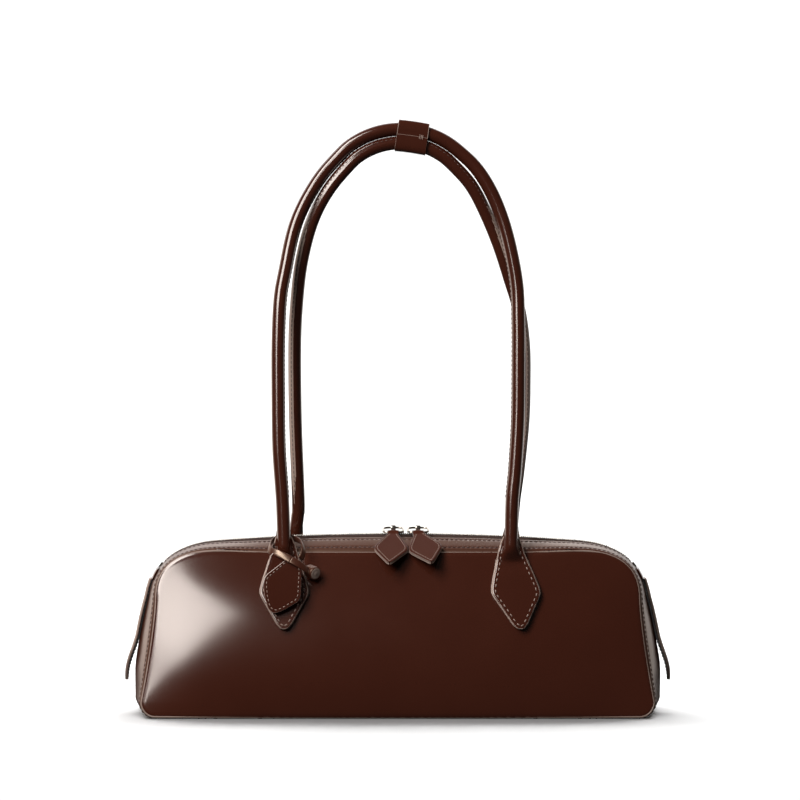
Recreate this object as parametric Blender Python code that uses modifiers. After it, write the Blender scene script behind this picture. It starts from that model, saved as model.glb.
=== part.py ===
"""Slim, wide leather shoulder bag with a closed metal zip and two tall rolled handles.

Metres, +Z up, and the front of the bag faces -Y. The origin is the middle of the flat base.
The body hangs on two lines: the seam between panel and band, and the crown of the band,
which stands out of the seam by a bulge. Both run from the top middle over the shoulder,
down the end and round the corner to the base, and every piece of the body is set off them.
"""

import math

import bmesh
import bpy
import numpy as np
from mathutils import Matrix, Vector

# Body at the panel seam
BASE_HALF_WIDTH = 0.1625
WAIST_HALF_WIDTH = 0.1545
SHOULDER_HALF_WIDTH = 0.1130
SEAM_HEIGHT = 0.1040
SHOULDER_RISE = 0.0012
WAIST_HEIGHT = 0.0740
CORNER_RADIUS = 0.0100
BASE_HALF_DEPTH = 0.0450
TOP_HALF_DEPTH = 0.0230
PANEL_CROWN = 0.0070
ZIP_HEIGHT = 0.1147
ZIP_ARC_RADIUS = 1.5500
END_BULGE = 0.0102

# Shapes of the curves, without size
SHOULDER_SQUARENESS = 2.5
FLARE_POWER = 1.5
BAND_ROUNDNESS = 1.6
PANEL_SQUARENESS = 4.0
CROWN_POWER = 0.85
RISE_START_SHARE = 0.7
CORNER_BULGE_SHARE = 0.62
# Share of the way from shoulder to corner, and the bulge there as a share of END_BULGE
BULGE_SHARES = ((0.20, 0.35), (0.34, 0.33), (0.42, 0.45), (0.48, 0.61), (0.54, 0.77), (0.61, 0.88),
                (0.70, 0.965), (0.80, 1.0), (0.86, 0.97), (0.92, 0.83))

# Leather, cloth and board
LEATHER = 0.0018
BACKING_LEATHER = 0.0012
LINING_CLOTH = 0.0006
LINING_CLEARANCE = 0.0008
LINING_HEIGHT = 0.0900
LINING_CORNER_CUT = 0.0065
BOARD_THICKNESS = 0.0020
BASE_SEAM_GAP = 0.0008
BOARD_HALF_WIDTH = 0.1480
BOARD_HALF_DEPTH = 0.0395
# Heights of the lining's rings between its floor and its rim
LINING_LEVEL_SHARES = (0.0, 0.06, 0.15, 0.3, 0.5, 0.7, 0.86, 1.0)
CLEARANCE = 0.0003

# Welt in the panel seam
PIPING_RADIUS = 0.0008
PIPING_SINK = 0.0003
PANEL_EDGE_PLAY = 0.0004

# Zip
ZIP_END_HEIGHT = 0.0910
ZIP_HALF_GAP = 0.0075
TAPE_HALF_WIDTH = 0.0140
TAPE_THICKNESS = 0.0006
TAPE_DEPTH = 0.0026
TAPE_DEPTH_AT_TEETH = 0.0005
TEETH_HALF_WIDTH = 0.0029
TEETH_HEIGHT = 0.0028
TEETH_PROUD = 0.0007
TOOTH_PITCH = 0.0025
TOOTH_SWING = 0.0009
TEETH_GAP = 0.0004
STOP_LENGTH = 0.0030

# Sliders, rings and pulls
SLIDER_LENGTH = 0.0144
SLIDER_HALF_WIDTH = 0.0050
SLIDER_PLATE = 0.0008
SLIDER_FLANGE = 0.0008
SLIDER_FLANGE_DROP = 0.0012
SLIDER_PLAY = 0.0002
# Places along a slider, its half width there, and the half width of its flat top
SLIDER_PLACE_SHARES = (-0.5, -0.42, -0.2, 0.2, 0.42, 0.5)
SLIDER_WIDTH_SHARES = (0.86, 0.97, 1.0, 1.0, 0.97, 0.86)
SLIDER_TOP_SHARE = 0.68
LEFT_SLIDER_X = -0.0028
RIGHT_SLIDER_X = 0.0131
LUG_RADIUS = 0.00165
LUG_HALF_WIDTH = 0.0016
RING_WIRE_RADIUS = 0.00075
RING_HALF_WIDTH = 0.0065
RING_REACH = 0.0085
RING_DROP = 0.0027
RING_CORNER = 0.0022
PULL_LENGTH = 0.0345
PULL_HALF_WIDTH = 0.0108
PULL_NECK_HALF_WIDTH = 0.0034
PULL_THICKNESS = 0.0030
PULL_TILT = math.radians(32.0)
LEFT_PULL_LEAN = math.radians(-4.0)
RIGHT_PULL_LEAN = math.radians(14.0)
PULL_CORNER_RADIUS = 0.0032
PULL_NECK_SHARE = 0.3
# Across as a share of the half width, and down as a share of the length
PULL_OUTLINE_SHARES = ((0.32, 0.10), (1.0, 0.52), (0.0, 1.0), (-1.0, 0.52), (-0.32, 0.10))

# Zip end patches and tabs
PATCH_LENGTH = 0.0070
PATCH_HALF_WIDTH = 0.0130
PATCH_LEATHER = 0.0012
TAB_LENGTH = 0.0668
TAB_HALF_WIDTH = 0.0110
TAB_THICKNESS = 0.0020
TAB_STAND_OFF = 0.0044
TAB_HUG_SHARE = 0.35
# Share of the length, then half width as a share
TAB_SHARES = ((0.0, 0.70), (0.15, 0.76), (0.30, 0.84), (0.45, 0.92), (0.60, 1.0), (0.70, 1.0),
              (0.80, 0.82), (0.88, 0.58), (0.95, 0.32), (1.0, 0.10))

# Handles
HANDLE_RADIUS = 0.0043
HANDLE_HALF_SPREAD = 0.0770
HANDLE_BASE_DEPTH = 0.0288
HANDLE_LEAN_POWER = 1.15
HANDLE_FLAT_HEIGHT = 0.3520
ARCH_CENTRE_X = 0.0020
ARCH_CENTRE_HEIGHT = 0.3190
ARCH_RADIUS = 0.0563
ARCH_HALF_TURN = math.radians(40.0)
ARCH_STEP = math.radians(5.0)
HANDLE_STEP = 0.0150
NECK_BOTTOM = 0.1120
NECK_TOP = 0.1260
HANDLE_AXIS_HEIGHT = 0.1180
# Height above the seam as a share of the way to the arch centre, then x as a share of the spread
FRONT_LEFT_LEG_SHARES = ((0.0, -0.936), (0.044, -0.939), (0.154, -0.952), (0.300, -0.983),
                         (0.449, -0.992), (0.613, -0.995), (0.747, -0.981), (0.828, -0.944),
                         (0.981, -0.849), (1.108, -0.666))
FRONT_RIGHT_LEG_SHARES = ((0.0, 0.936), (0.044, 0.937), (0.154, 0.946), (0.242, 0.971),
                          (0.389, 0.997), (0.553, 1.004), (0.688, 1.005), (0.804, 0.991),
                          (0.951, 0.909), (1.063, 0.797), (1.146, 0.656))
BACK_LEFT_LEG_SHARES = ((0.0, -0.905), (0.037, -0.875), (0.098, -0.850), (0.145, -0.843),
                        (0.388, -0.865), (0.614, -0.868), (0.749, -0.848), (0.870, -0.805),
                        (0.991, -0.712), (1.086, -0.568))
BACK_RIGHT_LEG_SHARES = ((0.0, 0.945), (0.037, 0.962), (0.144, 0.987), (0.236, 1.021),
                         (0.388, 1.061), (0.509, 1.068), (0.615, 1.062), (0.720, 1.022),
                         (0.811, 0.945), (0.913, 0.852), (1.014, 0.734), (1.098, 0.606))

# Chapes, the diamond ends of the handles
CHAPE_TIP_HEIGHT = 0.0560
CHAPE_REACH = 0.0620
CHAPE_HALF_WIDTH = 0.0154
CHAPE_THICKNESS = 0.0026
BACKING_MARGIN = 0.0005
BACKING_TOP = 0.0990
CHAPE_LEANS = {"front_left": 0.012, "front_right": 0.117, "back_left": -0.02, "back_right": 0.02}
# Share of the reach above the tip, half width share, then how far plate has become tube
CHAPE_SHARES = ((0.0, 0.12, 0.0), (0.05, 0.31, 0.0), (0.19, 0.63, 0.0), (0.32, 0.94, 0.0),
                (0.362, 1.0, 0.0), (0.41, 0.985, 0.0), (0.52, 0.86, 0.02), (0.61, 0.735, 0.1),
                (0.70, 0.63, 0.3), (0.78, 0.535, 0.55), (0.85, 0.455, 0.78), (0.92, 0.38, 0.92),
                (1.0, 0.312, 0.98), (1.1, 0.279, 1.0))
PLATE_SQUARENESS = 5.0
# Where the chape starts to leave the panel for the handle, and how long that takes
LEAVE_START_SHARE = 0.86
LEAVE_SHARE = 0.16

# Keeper round both handles
KEEPER_LENGTH = 0.0200
KEEPER_LEATHER = 0.0012
KEEPER_TURN = math.radians(8.2)
KEEPER_OUTER_CORNER = 0.0015
KEEPER_INNER_CORNER = 0.0008

# Hanging tag, its loop and its ball
TAG_TILT = math.radians(9.5)
TAG_LAYER = 0.0012
TAG_HALF_WIDTH = 0.0120
TAG_LENGTH = 0.0363
# Along the loop's front rim as a share of the half width, and down as a share of the length
TAG_OUTLINE_SHARES = ((-0.70, 0.075), (0.42, 0.075), (0.97, 0.127), (1.48, 0.642), (0.48, 0.995),
                      (0.17, 1.0), (-0.58, 0.628), (-0.74, 0.45))
TAG_CORNER_RADIUS = 0.0030
LOOP_CENTRE = (-0.0704, -0.0288, 0.1078)
LOOP_HALF_WIDTH = 0.0125
LOOP_HALF_DEPTH = 0.0097
LOOP_TILT = math.radians(26.0)
LOOP_ROLL = math.radians(20.0)
LOOP_STRAP_WIDTH = 0.0044
LOOP_STRAP_THICKNESS = 0.0012
TOGGLE_RADIUS = 0.0010
TOGGLE_START = (-0.0615, -0.0376, 0.1000)
TOGGLE_MIDDLE = (-0.0575, -0.0374, 0.0972)
BALL_RADIUS = 0.0043
BALL_X = -0.0540
BALL_HEIGHT = 0.0915

# How finely the curves are cut
DENSE = 60
TOP_STEPS = 6
SHOULDER_STEPS = 8
SIDE_STEPS = 5
CORNER_STEPS = 4
BASE_STEPS = 4
PANEL_RING_SHARES = (1.0, 0.87, 0.7, 0.5, 0.27)
ROUND_SIDES = 16
CORNER_TRIM_SHARE = 0.45
STRAP_CORNER_SHARES = ((-0.5, -0.5), (0.5, -0.5), (0.5, 0.5), (-0.5, 0.5))

PIPING_INSET = PIPING_RADIUS + PIPING_SINK
BAND_EDGE = PIPING_INSET + PIPING_RADIUS + CLEARANCE
PANEL_EDGE = BAND_EDGE + PANEL_EDGE_PLAY
BACK_ARCH_RADIUS = ARCH_RADIUS - 2 * HANDLE_RADIUS - CLEARANCE
SLIDER_TOP = TEETH_PROUD + SLIDER_PLAY + SLIDER_PLATE
LUG_HEIGHT = SLIDER_TOP + SLIDER_PLAY + LUG_RADIUS

LEATHER_COLOUR = (0.040, 0.010, 0.005, 1.0)
EDGE_COLOUR = (0.150, 0.080, 0.055, 1.0)
CLOTH_COLOUR = (0.060, 0.035, 0.025, 1.0)
BOARD_COLOUR = (0.300, 0.240, 0.180, 1.0)
METAL_COLOUR = (0.620, 0.600, 0.570, 1.0)

for item in list(bpy.data.objects):
    bpy.data.objects.remove(item, do_unlink=True)
parts_collection = bpy.data.collections.new("long_shoulder_bag")
cutters_collection = bpy.data.collections.new("cutters")
bpy.context.scene.collection.children.link(parts_collection)
bpy.context.scene.collection.children.link(cutters_collection)
materials = {}


def material(name, colour, roughness, metallic):
    """A plain finish, made once."""
    if name not in materials:
        made = bpy.data.materials.new(name)
        made.use_nodes = True
        shader = made.node_tree.nodes["Principled BSDF"]
        shader.inputs["Base Color"].default_value = colour
        shader.inputs["Roughness"].default_value = roughness
        shader.inputs["Metallic"].default_value = metallic
        materials[name] = made
    return materials[name]


def leather():
    return material("brown_leather", LEATHER_COLOUR, 0.22, 0.0)


def leather_edge():
    return material("leather_edge", EDGE_COLOUR, 0.45, 0.0)


def cloth():
    return material("brown_cloth", CLOTH_COLOUR, 0.85, 0.0)


def board():
    return material("grey_board", BOARD_COLOUR, 0.9, 0.0)


def metal():
    return material("nickel", METAL_COLOUR, 0.22, 1.0)


def smooth(share):
    """An even ease from 0 to 1."""
    held = np.clip(share, 0.0, 1.0)
    return held * held * (3 - 2 * held)


def add_mesh(name, points, faces, finish, collection=None):
    """One object from points and faces."""
    mesh = bpy.data.meshes.new(name)
    mesh.from_pydata([tuple(map(float, p)) for p in points], [], faces)
    mesh.materials.append(finish)
    mesh.shade_smooth()
    mesh.set_sharp_from_angle(angle=math.radians(40))
    made = bpy.data.objects.new(name, mesh)
    (collection or parts_collection).objects.link(made)
    return made


def seam_outline():
    """Right half of the seam seen from the front, from the top middle round to the base middle.

    A flat top with a slight rise, a shoulder on a superellipse, a side that flares towards
    the base, a round corner and the flat base. Returns the points and where each stretch ends.
    """
    turn = np.linspace(0, math.pi / 2, DENSE)
    share = np.linspace(0, 1, DENSE)
    crest = SEAM_HEIGHT + SHOULDER_RISE
    top_rise = SHOULDER_RISE * smooth((share - RISE_START_SHARE) / (1 - RISE_START_SHARE))
    top = np.column_stack((SHOULDER_HALF_WIDTH * share, SEAM_HEIGHT + top_rise))
    power = 2 / SHOULDER_SQUARENESS
    out = np.clip(np.sin(turn), 0, 1) ** power
    down = np.clip(np.cos(turn), 0, 1) ** power
    shoulder = np.column_stack((
        SHOULDER_HALF_WIDTH + (WAIST_HALF_WIDTH - SHOULDER_HALF_WIDTH) * out,
        WAIST_HEIGHT + (crest - WAIST_HEIGHT) * down))
    side = np.column_stack((
        WAIST_HALF_WIDTH + (BASE_HALF_WIDTH - WAIST_HALF_WIDTH) * share ** FLARE_POWER,
        WAIST_HEIGHT - (WAIST_HEIGHT - CORNER_RADIUS) * share))
    corner = np.column_stack((
        BASE_HALF_WIDTH - CORNER_RADIUS + CORNER_RADIUS * np.cos(turn),
        CORNER_RADIUS - CORNER_RADIUS * np.sin(turn)))
    base = np.column_stack(((BASE_HALF_WIDTH - CORNER_RADIUS) * (1 - share), np.zeros(DENSE)))
    stretches = (top, shoulder, side, corner, base)
    points = np.concatenate([top] + [stretch[1:] for stretch in stretches[1:]])
    steps = np.hypot(*np.diff(points, axis=0).T)
    along = np.concatenate(([0.0], np.cumsum(steps)))
    ends = [along[(DENSE - 1) * (n + 1)] for n in range(len(stretches))]
    return points, along, ends


OUTLINE, ALONG, STRETCH_ENDS = seam_outline()
SHOULDER_START, WAIST, CORNER_START, CORNER_END, BASE_MIDDLE = STRETCH_ENDS


def outline_normals():
    """Outward direction at each outline point."""
    tangent = np.gradient(OUTLINE, axis=0)
    tangent /= np.hypot(*tangent.T)[:, None]
    return np.column_stack((-tangent[:, 1], tangent[:, 0]))


NORMALS = outline_normals()


def zip_line_height(x):
    """Height of the band's crown over the top, a long arc."""
    return ZIP_HEIGHT - ZIP_ARC_RADIUS + np.sqrt(ZIP_ARC_RADIUS ** 2 - x * x)


def outline_bulge():
    """How far the band's crown stands out of the seam at each outline point."""
    bulge = zip_line_height(np.minimum(OUTLINE[:, 0], SHOULDER_HALF_WIDTH)) - OUTLINE[:, 1]
    first = bulge[DENSE - 1]
    shares = [0.0] + [at for at, _ in BULGE_SHARES] + [1.0]
    heights = [first] + [END_BULGE * high for _, high in BULGE_SHARES]
    heights.append(END_BULGE * CORNER_BULGE_SHARE)
    way = (ALONG - SHOULDER_START) / (CORNER_START - SHOULDER_START)
    fine = np.linspace(0, 1, DENSE)
    eased = np.interp(fine, shares, heights)
    for _ in range(DENSE // 10):
        eased[1:-1] = (eased[:-2] + 2 * eased[1:-1] + eased[2:]) / 4
    middle = np.interp(way, fine, eased)
    turned = np.clip((ALONG - CORNER_START) / (CORNER_END - CORNER_START), 0, 1) * math.pi / 2
    low = END_BULGE * CORNER_BULGE_SHARE * (1 - np.sin(turned))
    return np.where(way < 0, bulge, np.where(way < 1, middle, low))


BULGE = outline_bulge()
SIDE_ROWS = slice(DENSE - 1, 4 * (DENSE - 1) + 1)


def seam_depth(z):
    """Half depth of the body at the seam."""
    share = np.clip(z / SEAM_HEIGHT, 0, 1)
    return BASE_HALF_DEPTH + (TOP_HALF_DEPTH - BASE_HALF_DEPTH) * share


def seam_half_width(z):
    """Half width of the body at the seam."""
    rows = OUTLINE[SIDE_ROWS]
    return np.interp(z, rows[::-1, 1], rows[::-1, 0])


def panel_depth(x, z):
    """Depth of a panel's outer face from the middle plane: the seam's depth plus the crown."""
    across = np.clip(np.abs(x) / seam_half_width(z), 0, 1)
    up = np.clip(z / SEAM_HEIGHT, 0, 1)
    crown = (1 - across ** PANEL_SQUARENESS) * np.sin(math.pi * up ** CROWN_POWER)
    return seam_depth(z) + PANEL_CROWN * np.clip(crown, 0, 1)


def seam_at(s):
    """x, z and outward direction of the seam, and the bulge, at distance s from the top middle."""
    s = np.asarray(s, float)
    side = np.where(s < 0, -1.0, 1.0)
    far = np.abs(s)
    x = np.interp(far, ALONG, OUTLINE[:, 0]) * side
    z = np.interp(far, ALONG, OUTLINE[:, 1])
    nx = np.interp(far, ALONG, NORMALS[:, 0]) * side
    nz = np.interp(far, ALONG, NORMALS[:, 1])
    return x, z, nx, nz, np.interp(far, ALONG, BULGE)


def band_points(s, y, out):
    """Points of the band surface at distances s and depths y, moved outwards by out."""
    x, z, nx, nz, bulge = seam_at(s)
    share = np.clip(np.abs(y) / seam_depth(z), 0, 1)
    stand = bulge * (1 - share ** BAND_ROUNDNESS) + out
    return np.stack(np.broadcast_arrays(x + nx * stand, y, z + nz * stand), axis=-1)


def crown_points(s, y, out):
    """Points over the band's crown at distances s, level across the depth."""
    x, z, nx, nz, bulge = seam_at(s)
    return np.stack(np.broadcast_arrays(x + nx * (bulge + out), y, z + nz * (bulge + out)), axis=-1)


def all_stations():
    """Distances of the cuts on the right half, close together where the outline turns."""
    ends = [0.0] + list(STRETCH_ENDS)
    counts = (TOP_STEPS, SHOULDER_STEPS, SIDE_STEPS, CORNER_STEPS, BASE_STEPS)
    runs = [np.linspace(a, b, n + 1)[:-1] for a, b, n in zip(ends[:-1], ends[1:], counts)]
    return np.concatenate(runs + [[BASE_MIDDLE]])


STATIONS = all_stations()


def stations_between(start, end):
    """The cuts between two distances on the right half, with both ends."""
    play = CLEARANCE
    inner = STATIONS[(STATIONS > start + play) & (STATIONS < end - play)]
    return np.concatenate(([start], inner, [end]))


def distance_at_height(z):
    """Distance along the outline at which the shoulder or side passes a height."""
    rows = OUTLINE[SIDE_ROWS]
    return float(np.interp(z, rows[::-1, 1], ALONG[SIDE_ROWS][::-1]))


ZIP_END = distance_at_height(ZIP_END_HEIGHT)


def both_sides(right):
    """Distances on the left and right halves in one run."""
    return np.concatenate((-right[::-1], right[right > 0]))


def grid_faces(rows, columns):
    """Quads of a grid of points, row by row."""
    faces = []
    for i in range(rows - 1):
        for j in range(columns - 1):
            low, high = i * columns, (i + 1) * columns
            faces.append((low + j, high + j, high + j + 1, low + j + 1))
    return faces


def facing(points, faces, inside):
    """The faces turned so that they face away from a point."""
    flat = np.asarray(points).reshape(-1, 3)
    total = 0.0
    for face in faces:
        a, b, c = flat[face[0]], flat[face[1]], flat[face[2]]
        total += float(np.dot(np.cross(b - a, c - a), a - np.asarray(inside)))
    return faces if total > 0 else [tuple(reversed(face)) for face in faces]


def wall(name, grid, thickness, finish):
    """An open surface given its thickness inwards."""
    rows, columns = grid.shape[:2]
    faces = facing(grid, grid_faces(rows, columns), (0.0, 0.0, SEAM_HEIGHT / 2))
    made = add_mesh(name, grid.reshape(-1, 3), faces, finish)
    thicken(made, thickness)
    return made


def thicken(made, thickness):
    solid = made.modifiers.new("thickness", "SOLIDIFY")
    solid.thickness = thickness
    solid.offset = -1
    solid.use_even_offset = False


def loft(name, rings, finish, collection=None):
    """A closed solid through a stack of rings, with both ends filled."""
    count, around = rings.shape[:2]
    faces = []
    for i in range(count - 1):
        for j in range(around):
            k = (j + 1) % around
            faces.append((i * around + j, i * around + k, (i + 1) * around + k, (i + 1) * around + j))
    faces.append(tuple(range(around - 1, -1, -1)))
    faces.append(tuple((count - 1) * around + j for j in range(around)))
    flat = rings.reshape(-1, 3)
    faces = facing(flat, faces, flat.mean(axis=0)) if count == 2 else outward(flat, faces)
    return add_mesh(name, flat, faces, finish, collection)


def outward(points, faces):
    """The faces turned so that the solid they close has a positive volume."""
    volume = 0.0
    for face in faces:
        first = points[face[0]]
        for b, c in zip(face[1:-1], face[2:]):
            volume += float(np.dot(first, np.cross(points[b], points[c])))
    return faces if volume > 0 else [tuple(reversed(face)) for face in faces]


def wire(name, points, radius, finish, cyclic=False, resolution=2):
    """A round bar along a run of points."""
    curve = bpy.data.curves.new(name, "CURVE")
    curve.dimensions = "3D"
    curve.bevel_depth = radius
    curve.bevel_resolution = resolution
    curve.use_fill_caps = not cyclic
    spline = curve.splines.new("POLY")
    spline.points.add(len(points) - 1)
    for point, place in zip(spline.points, points):
        point.co = (*map(float, place), 1.0)
    spline.use_cyclic_u = cyclic
    curve.materials.append(finish)
    made = bpy.data.objects.new(name, curve)
    parts_collection.objects.link(made)
    return made


def plate(name, outlines, half_thickness, finish, collection=None):
    """A flat outline, with any holes, given its thickness."""
    curve = bpy.data.curves.new(name, "CURVE")
    curve.dimensions = "2D"
    curve.fill_mode = "BOTH"
    curve.extrude = half_thickness
    for outline in outlines:
        spline = curve.splines.new("POLY")
        spline.points.add(len(outline) - 1)
        for point, place in zip(spline.points, outline):
            point.co = (float(place[0]), float(place[1]), 0.0, 1.0)
        spline.use_cyclic_u = True
    curve.materials.append(finish)
    made = bpy.data.objects.new(name, curve)
    (collection or parts_collection).objects.link(made)
    return made


def axes(first, second, third, place):
    """The placing that turns X, Y and Z into three directions at a place."""
    columns = [Vector(map(float, column)) for column in (first, second, third)]
    matrix = Matrix(columns).transposed().to_4x4()
    matrix.translation = Vector(map(float, place))
    return matrix


def as_mesh(made):
    """The same object as a mesh with its caps welded."""
    bpy.context.view_layer.update()
    graph = bpy.context.evaluated_depsgraph_get()
    mesh = bpy.data.meshes.new_from_object(made.evaluated_get(graph))
    name, place, home = made.name, made.matrix_world.copy(), made.users_collection[0]
    bpy.data.objects.remove(made, do_unlink=True)
    work = bmesh.new()
    work.from_mesh(mesh)
    bmesh.ops.remove_doubles(work, verts=work.verts, dist=CLEARANCE / 100)
    bmesh.ops.recalc_face_normals(work, faces=work.faces)
    work.to_mesh(mesh)
    work.free()
    new = bpy.data.objects.new(name, mesh)
    new.matrix_world = place
    home.objects.link(new)
    return new


def rounded(corners, radius, steps=3):
    """A closed outline with each corner rounded."""
    points = []
    count = len(corners)
    for n in range(count):
        before, at, after = (np.asarray(corners[(n + k) % count], float) for k in (-1, 0, 1))
        to_before, to_after = before - at, after - at
        near = min(radius, np.hypot(*to_before) * CORNER_TRIM_SHARE, np.hypot(*to_after) * CORNER_TRIM_SHARE)
        start = at + to_before / np.hypot(*to_before) * near
        end = at + to_after / np.hypot(*to_after) * near
        for t in np.linspace(0, 1, steps + 1):
            points.append((1 - t) ** 2 * start + 2 * t * (1 - t) * at + t * t * end)
    return points


def circle(radius, centre, count):
    turns = np.linspace(0, 2 * math.pi, count, endpoint=False)
    return [(centre[0] + radius * math.cos(t), centre[1] + radius * math.sin(t)) for t in turns]


def build_panel(name, side):
    """One large side: rings that shrink from the seam to the middle, at the panel's depth."""
    right = both_sides(STATIONS)[1:]
    x, z, nx, nz, _ = seam_at(right)
    edge = np.column_stack((x - nx * PANEL_EDGE, z - nz * PANEL_EDGE))
    middle = np.array((0.0, SEAM_HEIGHT / 2))
    count = len(right)
    points = []
    for share in PANEL_RING_SHARES:
        ring = middle + (edge - middle) * share
        points.extend((px, side * panel_depth(px, pz), pz) for px, pz in ring)
    points.append((middle[0], side * panel_depth(middle[0], middle[1]), middle[1]))
    faces = []
    for r in range(len(PANEL_RING_SHARES) - 1):
        for i in range(count):
            k = (i + 1) % count
            a, b = r * count, (r + 1) * count
            faces.append((a + i, a + k, b + k, b + i))
    last = (len(PANEL_RING_SHARES) - 1) * count
    faces.extend((last + i, last + (i + 1) % count, len(points) - 1) for i in range(count))
    faces = facing(points, faces, (0.0, 0.0, SEAM_HEIGHT / 2))
    thicken(add_mesh(name, points, faces, leather()), LEATHER)


def build_piping(name, side):
    """The welt that fills the panel seam all the way round."""
    x, z, nx, nz, _ = seam_at(both_sides(STATIONS)[1:])
    depth = side * (seam_depth(z) - PIPING_INSET)
    points = np.column_stack((x - nx * PIPING_INSET, depth, z - nz * PIPING_INSET))
    wire(name, points, PIPING_RADIUS, leather(), cyclic=True, resolution=1)


def build_zip_band(name, side):
    """The strip between one panel seam and the zip."""
    s = both_sides(stations_between(0.0, ZIP_END))
    depth = seam_depth(seam_at(s)[1]) - BAND_EDGE
    share = np.linspace(0, 1, 5)[None, :]
    y = side * (depth[:, None] * (1 - share) + ZIP_HALF_GAP * share)
    wall(name, band_points(s[:, None], y, 0.0), LEATHER, leather())


def build_gusset(name, side):
    """One end of the bag, from the zip's end round the corner to the base."""
    s = side * stations_between(ZIP_END + CLEARANCE, CORNER_END)
    depth = seam_depth(seam_at(s)[1]) - BAND_EDGE
    y = depth[:, None] * np.linspace(-1, 1, 9)[None, :]
    wall(name, band_points(s[:, None], y, 0.0), LEATHER, leather())


def box(name, low, high, finish):
    """A plain block between two corners."""
    bpy.ops.mesh.primitive_cube_add(size=1.0)
    made = bpy.context.active_object
    for home in list(made.users_collection):
        home.objects.unlink(made)
    parts_collection.objects.link(made)
    made.name = name
    low, high = np.asarray(low), np.asarray(high)
    for vertex in made.data.vertices:
        vertex.co = low + (np.array(vertex.co) + 0.5) * (high - low)
    made.data.materials.append(finish)
    return made


def build_base():
    """The flat base and the stiff board above it."""
    half_width = BASE_HALF_WIDTH - CORNER_RADIUS - BASE_SEAM_GAP
    half_depth = BASE_HALF_DEPTH - BAND_EDGE
    box("base_panel", (-half_width, -half_depth, 0.0), (half_width, half_depth, LEATHER), leather())
    low = LEATHER + CLEARANCE
    box("base_board", (-BOARD_HALF_WIDTH, -BOARD_HALF_DEPTH, low),
        (BOARD_HALF_WIDTH, BOARD_HALF_DEPTH, low + BOARD_THICKNESS), board())


def end_wall_x(y, z, inset):
    """How far out the inner face of a gusset is at a depth and height."""
    rows = OUTLINE[SIDE_ROWS]
    normals, bulge = NORMALS[SIDE_ROWS], BULGE[SIDE_ROWS]
    share = np.clip(abs(y) / seam_depth(rows[:, 1]), 0, 1)
    stand = bulge * (1 - share ** BAND_ROUNDNESS) - inset
    x = rows[:, 0] + normals[:, 0] * stand
    high = rows[:, 1] + normals[:, 1] * stand
    order = np.argsort(high)
    return float(np.interp(z, high[order], x[order]))


def build_lining():
    """A cloth bag inside, open at the top: rings a little inside the leather."""
    inset = LEATHER + LINING_CLEARANCE
    floor = LEATHER + 2 * CLEARANCE + BOARD_THICKNESS + CLEARANCE
    heights = [floor + (LINING_HEIGHT - floor) * share for share in LINING_LEVEL_SHARES]
    rings = []
    for z in heights:
        half_width = float(seam_half_width(z)) - LINING_CORNER_CUT
        half_depth = float(seam_depth(z)) - LINING_CORNER_CUT
        front = [(x, -(panel_depth(x, z) - inset), z) for x in np.linspace(-half_width, half_width, 13)]
        right = [(end_wall_x(y, z, inset), y, z) for y in np.linspace(-half_depth, half_depth, 7)]
        back = [(-x, -y, z) for x, y, z in front]
        left = [(-x, -y, z) for x, y, z in right]
        rings.append(front + right + back + left)
    rings = np.array(rings)
    count, around = rings.shape[:2]
    faces = [(i * around + j, i * around + (j + 1) % around, (i + 1) * around + (j + 1) % around,
              (i + 1) * around + j) for i in range(count - 1) for j in range(around)]
    faces.append(tuple(range(around - 1, -1, -1)))
    flat = rings.reshape(-1, 3)
    faces = facing(flat, faces, (0.0, 0.0, SEAM_HEIGHT / 2))
    thicken(add_mesh("lining", flat, faces, cloth()), LINING_CLOTH)


def build_zip_tape(name, side):
    """The cloth tape that runs under the band and rises to the teeth."""
    s = both_sides(stations_between(0.0, ZIP_END - CLEARANCE))
    inner = TEETH_HALF_WIDTH + CLEARANCE + TAPE_THICKNESS
    depths = np.array((inner, (inner + ZIP_HALF_GAP) / 2, ZIP_HALF_GAP, TAPE_HALF_WIDTH))
    sinks = np.array((TAPE_DEPTH_AT_TEETH, (TAPE_DEPTH_AT_TEETH + TAPE_DEPTH) / 2,
                      TAPE_DEPTH, TAPE_DEPTH))
    grid = band_points(s[:, None], side * depths[None, :], -sinks[None, :])
    wall(name, grid, TAPE_THICKNESS, cloth())


def build_zip_teeth(name, side):
    """A row of teeth: its inner edge zigzags so that the two rows mesh without touching."""
    end = ZIP_END - CLEARANCE - STOP_LENGTH - 2 * CLEARANCE
    half_count = int(min(SHOULDER_START, end - 2 * TOOTH_PITCH) / (TOOTH_PITCH / 2))
    teeth = np.arange(-half_count, half_count + 1) * TOOTH_PITCH / 2
    beyond = stations_between(teeth[-1] + TOOTH_PITCH, end)
    s = np.concatenate((-beyond[::-1], teeth, beyond))
    wave = np.where(np.arange(len(teeth)) % 2 == 0, 1.0, -1.0) * TOOTH_SWING
    inner = np.concatenate((np.zeros(len(beyond)), wave, np.zeros(len(beyond))))
    inner = inner + side * TEETH_GAP / 2
    outer = np.full(len(s), side * TEETH_HALF_WIDTH)
    top, bottom = TEETH_PROUD, TEETH_PROUD - TEETH_HEIGHT
    rings = np.stack((crown_points(s, inner, bottom), crown_points(s, outer, bottom),
                      crown_points(s, outer, top), crown_points(s, inner, top)), axis=1)
    loft(name, rings, metal())


def build_zip_stop(name, side):
    """The metal stop that closes both rows at one end."""
    end = ZIP_END - CLEARANCE
    s = side * np.array((end - STOP_LENGTH, end))
    half = np.full(2, TEETH_HALF_WIDTH)
    top, bottom = TEETH_PROUD, TEETH_PROUD - TEETH_HEIGHT
    rings = np.stack((crown_points(s, -half, bottom), crown_points(s, half, bottom),
                      crown_points(s, half, top), crown_points(s, -half, top)), axis=1)
    loft(name, rings, metal())


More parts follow.
